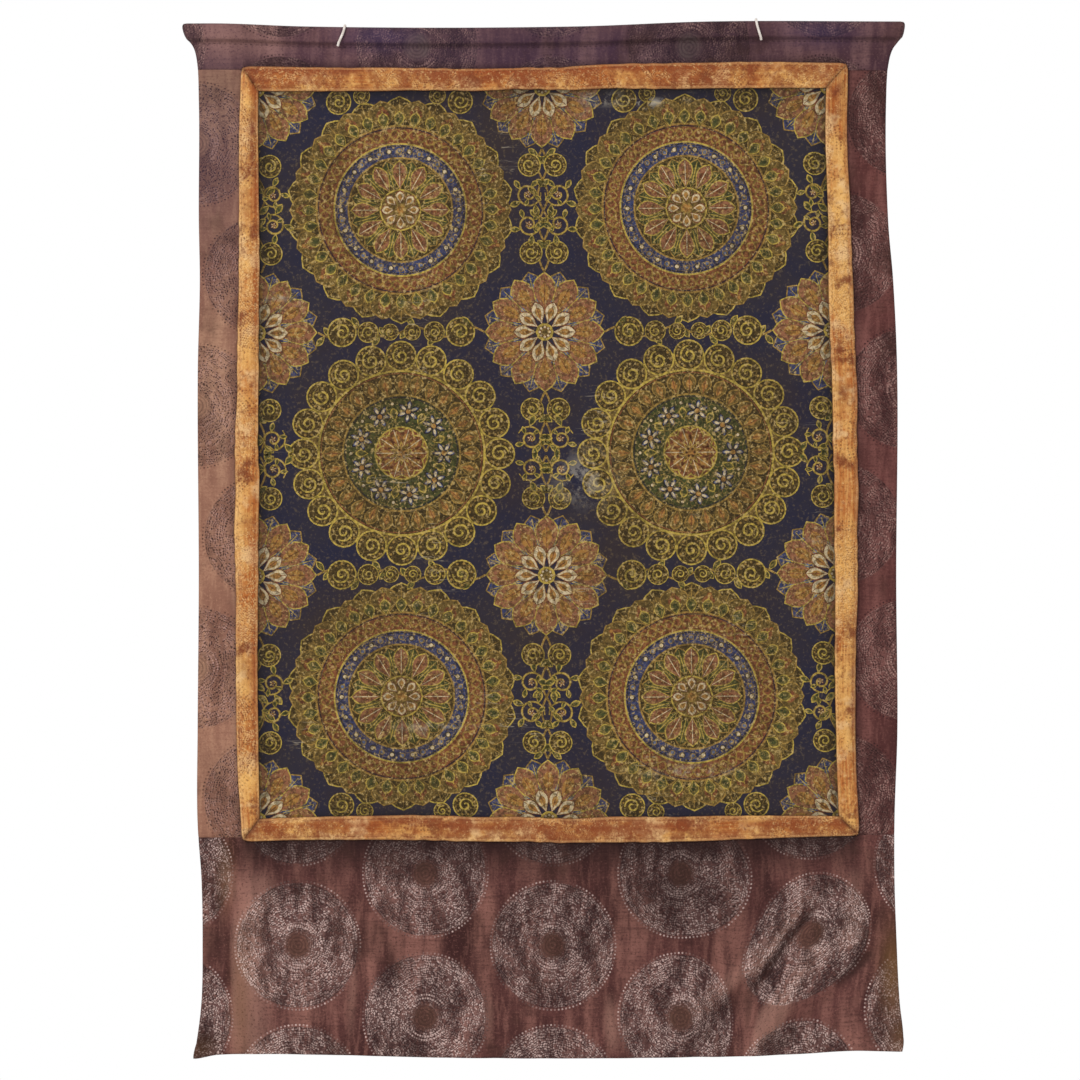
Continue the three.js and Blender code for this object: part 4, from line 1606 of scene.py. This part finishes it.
def petal_wheel(trees):
    """A wheel of scalloped petals, a plaited ring, beads and a lotus heart."""
    wheel = Design(trees)
    bands = ((20, OLIVE), (52, DEEP_OLIVE), (66, BLUE), (84, RUST), (95, DEEP_OLIVE))
    lines = (
        (84, 1.8, GOLD),
        (82, 1.1, NAVY),
        (66, 1.8, YELLOW),
        (63.8, 1.1, NAVY),
        (52, 1.8, GOLD),
        (20, 1.6, YELLOW),
    )
    ground = ringed_ground(bands, lines)
    for layer, phase in ((2, 0), (3, math.pi)):
        ground.stroke(wavy_ring(75, 4.6, 26, phase, 520), 1.6, GOLD, layer)
    wheel.flat(ground)
    wheel.ring(petal(30, 30, YELLOW, DEEP_OLIVE, OLIVE, GOLD, 0.75, 0), 18, 84, math.pi / 18)
    wheel.ring(petal(29, 29, GOLD, OLIVE, RUST, YELLOW, 0.75, 3), 18, 82)
    wheel.ring(bead(2.4, OCHRE, RUST, 7), 18, 103)
    wheel.ring(petal(16, 11, YELLOW, MOSS, GREEN, None, 0.8, 7), 36, 83)
    wheel.ring(bead(2.8, CREAM), 18, 59)
    wheel.ring(bead(2.8, SLATE, GOLD), 18, 59, math.pi / 18)
    wheel.ring(petal(31, 17, GOLD, GREEN, MOSS, YELLOW, 0.7), 12, 20, math.pi / 12)
    wheel.ring(petal(30, 16, YELLOW, ROSE, RUST, CREAM, 0.7, 6), 12, 20)
    wheel.ring(petal(14, 10, RUST, CREAM, OCHRE, None, 0.7, 9), 8, 6)
    wheel.flat(bead(6, OCHRE, GOLD, 12))
    return wheel


def scroll_wheel(trees):
    """A wheel of rolled scrolls round petals, small flowers and a lotus heart."""
    wheel = Design(trees)
    bands = ((26, RUST), (58, GREEN), (82, DEEP_OLIVE), (100, OLIVE))
    lines = ((82, 2, YELLOW), (79.6, 1.2, RUST), (58, 1.8, GOLD), (55.8, 1.1, NAVY), (26, 1.6, YELLOW))
    wheel.flat(ringed_ground(bands, lines))
    wheel.ring(scroll(14.6, YELLOW, DEEP_OLIVE, 3), 20, 97)
    wheel.ring(petal(22, 14, GOLD, OLIVE, OCHRE, RUST, 0.7), 28, 57)
    wheel.ring(flower(12, 6, NAVY, SLATE, CREAM, OCHRE), 9, 42)
    wheel.ring(petal(13, 8, YELLOW, MOSS, GREEN), 9, 33, math.pi / 9)
    wheel.ring(bead(2.2, CREAM), 9, 50, math.pi / 9)
    wheel.ring(petal(22, 15, YELLOW, RUST, OCHRE, CREAM, 0.7, 6), 10, 5)
    wheel.flat(bead(7, OCHRE, GOLD, 11))
    wheel.ring(bead(1.5, DEEP_OLIVE, RUST, 13), 6, 4)
    return wheel


def lotus(trees):
    """A lotus seen from above, with a seed head."""
    bloom = Design(trees)
    bloom.ring(petal(44, 25, GOLD, BLUE, SLATE, YELLOW, 0.7), 12, 18, math.pi / 12)
    bloom.ring(petal(42, 24, YELLOW, ROSE, OCHRE, RUST, 0.7, 5), 12, 18)
    bloom.ring(petal(24, 14, RUST, CREAM, OCHRE, RUST, 0.7, 9), 10, 8)
    bloom.flat(bead(9, OLIVE, YELLOW, 12))
    bloom.ring(bead(1.8, CREAM, RUST, 13), 8, 5)
    return bloom


# Where the wheels and lotuses stand, about the middle of the canvas
WHEEL_COLUMNS = (-143, 143)
WHEEL_ROW = 243
LOTUS_COLUMNS = (-HALF_WIDTH, 0, HALF_WIDTH)
LOTUS_ROWS = (-HALF_HEIGHT, -121, 121, HALF_HEIGHT)

# Scrolls of one quarter, mirrored into the others: x, y and size
SCROLLS = (
    (84, 121, 14), (110, 121, 10), (132, 121, 8), (154, 121, 8), (176, 121, 10), (202, 121, 14),
    (13, 44, 11), (13, 200, 11), (13, 287, 11), (273, 44, 11), (273, 200, 11), (273, 287, 11),
    (82, 351, 12), (105, 357, 8), (181, 357, 8), (204, 351, 12),
)

# Tendrils of one quarter: x, y, size and turn
TENDRILS = (
    (15, 15, 13, 0.4), (15, 228, 13, 1.9), (15, 258, 13, 3.0), (270, 15, 13, 2.4), (270, 228, 12, 0.6),
    (270, 258, 12, 4.0),
)

# Wavy stems of one quarter: both ends, and the number of waves
STEMS = (
    ((60, 121), (226, 121), 3), ((0, 62), (0, 2), 1), ((0, 181), (0, 303), 2), ((283, 62), (283, 2), 1),
    ((283, 181), (283, 303), 2),
)


def stem(start, end, waves):
    """A thin wavy stem with leaves on both sides."""
    motif = Motif()
    start, end = np.array(start, float), np.array(end, float)
    along = end - start
    across = np.array((-along[1], along[0])) / np.linalg.norm(along)
    shares = np.linspace(0, 1, STEM_STEPS * waves + 1)
    line = [start + s * along + STEM_SWAY * math.sin(2 * math.pi * waves * s) * across for s in shares]
    motif.stroke(line, 2, GOLD, 1)
    leaf = petal(13, 6.5, YELLOW, GREEN, MOSS, None, 0.8, 1)
    heading = math.atan2(along[1], along[0])
    for k in range(4, len(line) - 2, LEAF_EVERY):
        motif.add(leaf, tuple(line[k]), heading + LEAF_LEAN)
        motif.add(leaf, tuple(line[k + 2]), heading - LEAF_LEAN)
    return motif


def tendril(size):
    """A wound stem with leaves along it and a small flower in its middle."""
    motif = Motif()
    leaf = petal(11, 6, YELLOW, MOSS, GREEN, None, 0.8, 4)
    line = spiral(size, size * 0.15, TENDRIL_TURNS)
    motif.stroke(line, 2.2, GOLD, 2, 0.5)
    motif.stroke(line, 1, YELLOW, 3, 0.5)
    for k in range(4, 34, 5):
        turn = 2 * math.pi * TENDRIL_TURNS * k / (SPIRAL_STEPS - 1)
        motif.add(leaf, tuple(line[k]), turn + 0.5, 0.6 + 0.02 * (34 - k))
    motif.add(flower(size * 0.3, 5, RUST, ROSE, CREAM, OCHRE))
    return motif


def painted_pieces(trees, material):
    """Six wheels in two columns, lotuses between them, and scrolls and tendrils in the gaps."""
    wheels = Design(trees)
    wheels.spread(petal_wheel(trees), [(x, y) for x in WHEEL_COLUMNS for y in (-WHEEL_ROW, WHEEL_ROW)])
    wheels.spread(scroll_wheel(trees), [(x, 0) for x in WHEEL_COLUMNS])
    lotuses = Design(trees)
    lotuses.spread(lotus(trees), [(x, y) for x in LOTUS_COLUMNS for y in LOTUS_ROWS])
    gaps = Motif()
    for flip in ((1, 1), (-1, 1), (1, -1), (-1, -1)):
        for k, (x, y, size) in enumerate(SCROLLS):
            gaps.add(scroll(size, YELLOW, DEEP_OLIVE, 1 + 2 * (k % 3)), (x, y), 1.3 * k, 1.0, flip)
        for row in STEMS:
            gaps.add(stem(*row), flip=flip)
        for x, y, size, turn in TENDRILS:
            gaps.add(tendril(size), (x, y), turn, 1.0, flip)
    scrolls = Design(trees)
    scrolls.flat(gaps)
    designs = {"painted_wheels": wheels, "painted_lotuses": lotuses, "painted_scrolls": scrolls}
    return [design.piece(name, material) for name, design in designs.items()]


# Stitches

# Size and spacing of the stitches, and where the seams run, in millimetres
STITCH_LENGTH = 2.8
STITCH_THICK = 0.6
STITCH_SPACING = 5.2
SEAM_FROM_END = 10
SEAM_INSET = 1.7
SEAM_PROUD = 0.7
SEAM_POINTS = 160
SLEEVE_SEAM_BELOW = 19.6
SLEEVE_SEAM_FROM_END = 20
SLEEVE_SEAM_POINTS = 200


def stitch_mesh():
    """One stitch: a flattened bead along X."""
    shape = bmesh.new()
    bmesh.ops.create_icosphere(shape, subdivisions=1, radius=0.5)
    bmesh.ops.scale(shape, vec=(STITCH_LENGTH, STITCH_THICK, STITCH_THICK * 0.7), verts=shape.verts)
    mesh = plain_mesh("stitch", shape)
    mesh.polygons.foreach_set("use_smooth", [True] * len(mesh.polygons))
    return mesh


def line_mesh(points):
    mesh = bpy.data.meshes.new("line")
    mesh.from_pydata(points.tolist(), [(k, k + 1) for k in range(len(points) - 1)], [])
    return mesh


def strip_seams():
    """Lines of stitches in millimetres, along both edges of each strip."""
    lines = []
    for side, rows in STRIPS.items():
        at = np.linspace(rows["at"][0] + SEAM_FROM_END, rows["at"][-1] - SEAM_FROM_END, SEAM_POINTS)
        inset = SEAM_INSET if side in ("left", "top") else -SEAM_INSET
        for off in (strip_outer[side](at) + inset, strip_inner[side](at) - inset):
            x, drop = (off, at) if side in UPRIGHT_SIDES else (at, off)
            depth = hang(x, drop) - STRIP_GAP - STRIP_RIM - SEAM_PROUD
            lines.append(np.stack([x, depth, -drop], -1))
    return lines


def sleeve_seam():
    """The line of stitches in the crease below the sleeve."""
    first = OUTLINE["left"][0] + SLEEVE_SEAM_FROM_END
    last = OUTLINE["right"][0] - SLEEVE_SEAM_FROM_END
    x = np.linspace(first, last, SLEEVE_SEAM_POINTS)
    drop = top_edge(x) + SLEEVE_SEAM_BELOW
    return np.stack([x, np.full(len(x), SEAM_PROUD), -drop], -1)


def stitch_piece(name, lines, material):
    """One piece of all the stitches along some lines."""
    tree = path_tree(material)
    stitch = add_object("stitch", stitch_mesh())
    shape = bmesh.new()
    for line in lines:
        shape.from_mesh(grown_mesh(tree, {"Motif": stitch, "Spacing": STITCH_SPACING}, line_mesh(line)))
    bpy.data.objects.remove(stitch)
    mesh = plain_mesh(name, shape)
    mesh.transform(Matrix.Scale(MM, 4))
    dress(mesh, material)
    return add_object(name, mesh)


# Stage: camera, light and floor

# Soft lights, in metres and watts, and the white room's share of light and of what the camera sees
Light = namedtuple("Light", "place width height power")
LIGHTS = {
    "key_light": Light((-2.0, -2.4, 1.3), 1.6, 1.6, 78),
    "fill_light": Light((2.4, -2.6, 0.1), 2.0, 2.0, 26),
    "back_light": Light((0.4, 2.6, 0.6), 2.4, 2.0, 30),
}
ROOM_LIGHT = 0.45
ROOM_SEEN = 1.0
WHITE = (1, 1, 1, 1)
FLOOR_HEIGHT = -1.28
FLOOR_HALF = 1.5


def aimed(made, target):
    made.rotation_euler = (target - made.location).to_track_quat("-Z", "Y").to_euler()


def add_camera():
    data = bpy.data.cameras.new("camera")
    data.sensor_width = SENSOR
    data.sensor_fit = "HORIZONTAL"
    data.lens = SENSOR * CAMERA_DISTANCE / FRAME_WIDTH
    camera = add_object("camera", data)
    camera.location = FRAME_CENTRE + Vector((0, -CAMERA_DISTANCE, 0))
    aimed(camera, FRAME_CENTRE)
    bpy.context.scene.camera = camera


def add_light(name, light):
    data = bpy.data.lights.new(name, "AREA")
    data.shape = "RECTANGLE"
    data.size = light.width
    data.size_y = light.height
    data.energy = light.power
    lamp = add_object(name, data)
    lamp.location = Vector(light.place)
    aimed(lamp, FRAME_CENTRE)


def add_room():
    """A white room all round, that lights the cloth less than the camera sees it."""
    world = bpy.data.worlds.new("studio")
    world.use_nodes = True
    tree = world.node_tree
    tree.nodes.clear()
    seen = add_node(tree, "ShaderNodeBackground", {"Color": WHITE, "Strength": ROOM_SEEN})
    lit = add_node(tree, "ShaderNodeBackground", {"Color": WHITE, "Strength": ROOM_LIGHT})
    camera_ray = tree.nodes.new("ShaderNodeLightPath").outputs["Is Camera Ray"]
    mixed = add_node(tree, "ShaderNodeMixShader", {0: camera_ray, 1: lit, 2: seen})
    tree.links.new(mixed, tree.nodes.new("ShaderNodeOutputWorld").inputs["Surface"])
    bpy.context.scene.world = world
    bpy.context.scene.view_settings.view_transform = "Standard"


def add_floor():
    shape = bmesh.new()
    bmesh.ops.create_grid(shape, x_segments=1, y_segments=1, size=FLOOR_HALF)
    mesh = plain_mesh("floor", shape)
    mesh.transform(Matrix.Translation((0, 0, FLOOR_HEIGHT)))
    floor = Finish("floor_paint")
    place = floor.object_place()
    mottle = floor.noise(place, 3, 2, 0.5)
    colour = floor.mix(mottle, linear(232, 230, 226), linear(240, 239, 236))
    mesh.materials.append(floor.surface(colour, 0.7 + 0.1 * mottle, mottle, 0.0002, 0.2))
    add_object("floor", mesh)


# Build

add_camera()
for name, light in LIGHTS.items():
    add_light(name, light)
add_room()
add_floor()

cotton = cotton_finish()
for name, sizes in CORDS.items():
    cord, path, length = cord_piece(name + "_twist", sizes["pierce_x"], sizes["cross_x"], cotton)
    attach(cord, "root")
    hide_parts(name)

# Panels of the mount
BROCADES = {
    "brocade_bottom": Brocade(
        ground=linear(102, 62, 58), light=linear(142, 96, 86), dark=linear(60, 33, 32),
        dots=SILVER, dot_share=0.78, hole_share=0.85, tint_share=0.24, field_share=1.0,
        rim=SILVER, heart=linear(84, 58, 48),
        turned=False, start_x=9, start_drop=918, pitch=127.5,
    ),
    "brocade_left": Brocade(
        ground=linear(166, 121, 99), light=linear(184, 140, 114), dark=linear(134, 92, 76),
        dots=PALE_DOTS, dot_share=0.6, hole_share=0.9, tint_share=0.1, field_share=0.5,
        rim=DARK_RIM, heart=linear(146, 110, 90),
        turned=True, start_x=-349, start_drop=379, pitch=131,
    ),
    "brocade_right": Brocade(
        ground=linear(104, 60, 56), light=linear(127, 81, 75), dark=linear(74, 40, 39),
        dots=PALE_DOTS, dot_share=0.5, hole_share=0.85, tint_share=0.1, field_share=0.8,
        rim=DARK_RIM, heart=linear(104, 72, 62),
        turned=True, start_x=294, start_drop=226, pitch=135.5,
    ),
    "brocade_top": Brocade(
        ground=linear(112, 78, 77), light=linear(134, 98, 96), dark=linear(76, 49, 58),
        dots=PALE_DOTS, dot_share=0.5, hole_share=0.85, tint_share=0.1, field_share=1.0,
        rim=DARK_RIM, heart=linear(108, 92, 84),
        turned=False, start_x=9, start_drop=-52, pitch=136,
    ),
}
brocades = {name: brocade_finish(name + "_silk", look) for name, look in BROCADES.items()}
upright_gold = gold_finish(
    "gold_silk_upright", turned=True, start_x=-276, start_drop=265, pitch=148, aged_share=0.03
)
level_gold = gold_finish(
    "gold_silk_level", turned=False, start_x=-121, start_drop=14, pitch=136, aged_share=0.42
)

# Each sheet by the node that it replaces: its piece, its slot and its cut size in metres
sheets = {
    "brocade_top": (brocade_top_piece(brocades["brocade_top"]), "brocade", (0.72, 0.056)),
    "brocade_left": (brocade_side_piece("left", brocades["brocade_left"]), "brocade", (0.045, 0.77)),
    "brocade_right": (brocade_side_piece("right", brocades["brocade_right"]), "brocade", (0.045, 0.77)),
    "brocade_bottom": (brocade_bottom_piece(brocades["brocade_bottom"]), "brocade", (0.71, 0.226)),
    "painting": (painting_piece([canvas_finish(), canvas_back_finish()]), "painted_canvas", (0.59, 0.74)),
}
UPRIGHT_STRIP = (0.025, 0.775)
LEVEL_STRIP = (0.61, 0.025)
for side in STRIPS:
    upright = side in UPRIGHT_SIDES
    piece = border_piece(side, upright_gold if upright else level_gold)
    sheets["border_" + side] = (piece, "gold_silk", UPRIGHT_STRIP if upright else LEVEL_STRIP)
for name, (piece, slot, size) in sheets.items():
    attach(piece, "root")
    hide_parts(name)

# The painted design and the stitches
paint = paint_finish()
trees = {"ring": ring_tree(paint), "spread": spread_tree(paint)}
for painted in painted_pieces(trees, paint):
    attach(painted, "root")

gold_thread = thread_finish("gold_thread", linear(200, 144, 82), linear(164, 106, 54))
plum_thread = thread_finish("plum_thread", linear(74, 50, 52), linear(48, 30, 34))
stitches = {
    "gold_silk": stitch_piece("strip_stitches", strip_seams(), gold_thread),
    "brocade": stitch_piece("sleeve_stitches", [sleeve_seam()], plum_thread),
}
for slot, piece in stitches.items():
    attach(piece, "root")
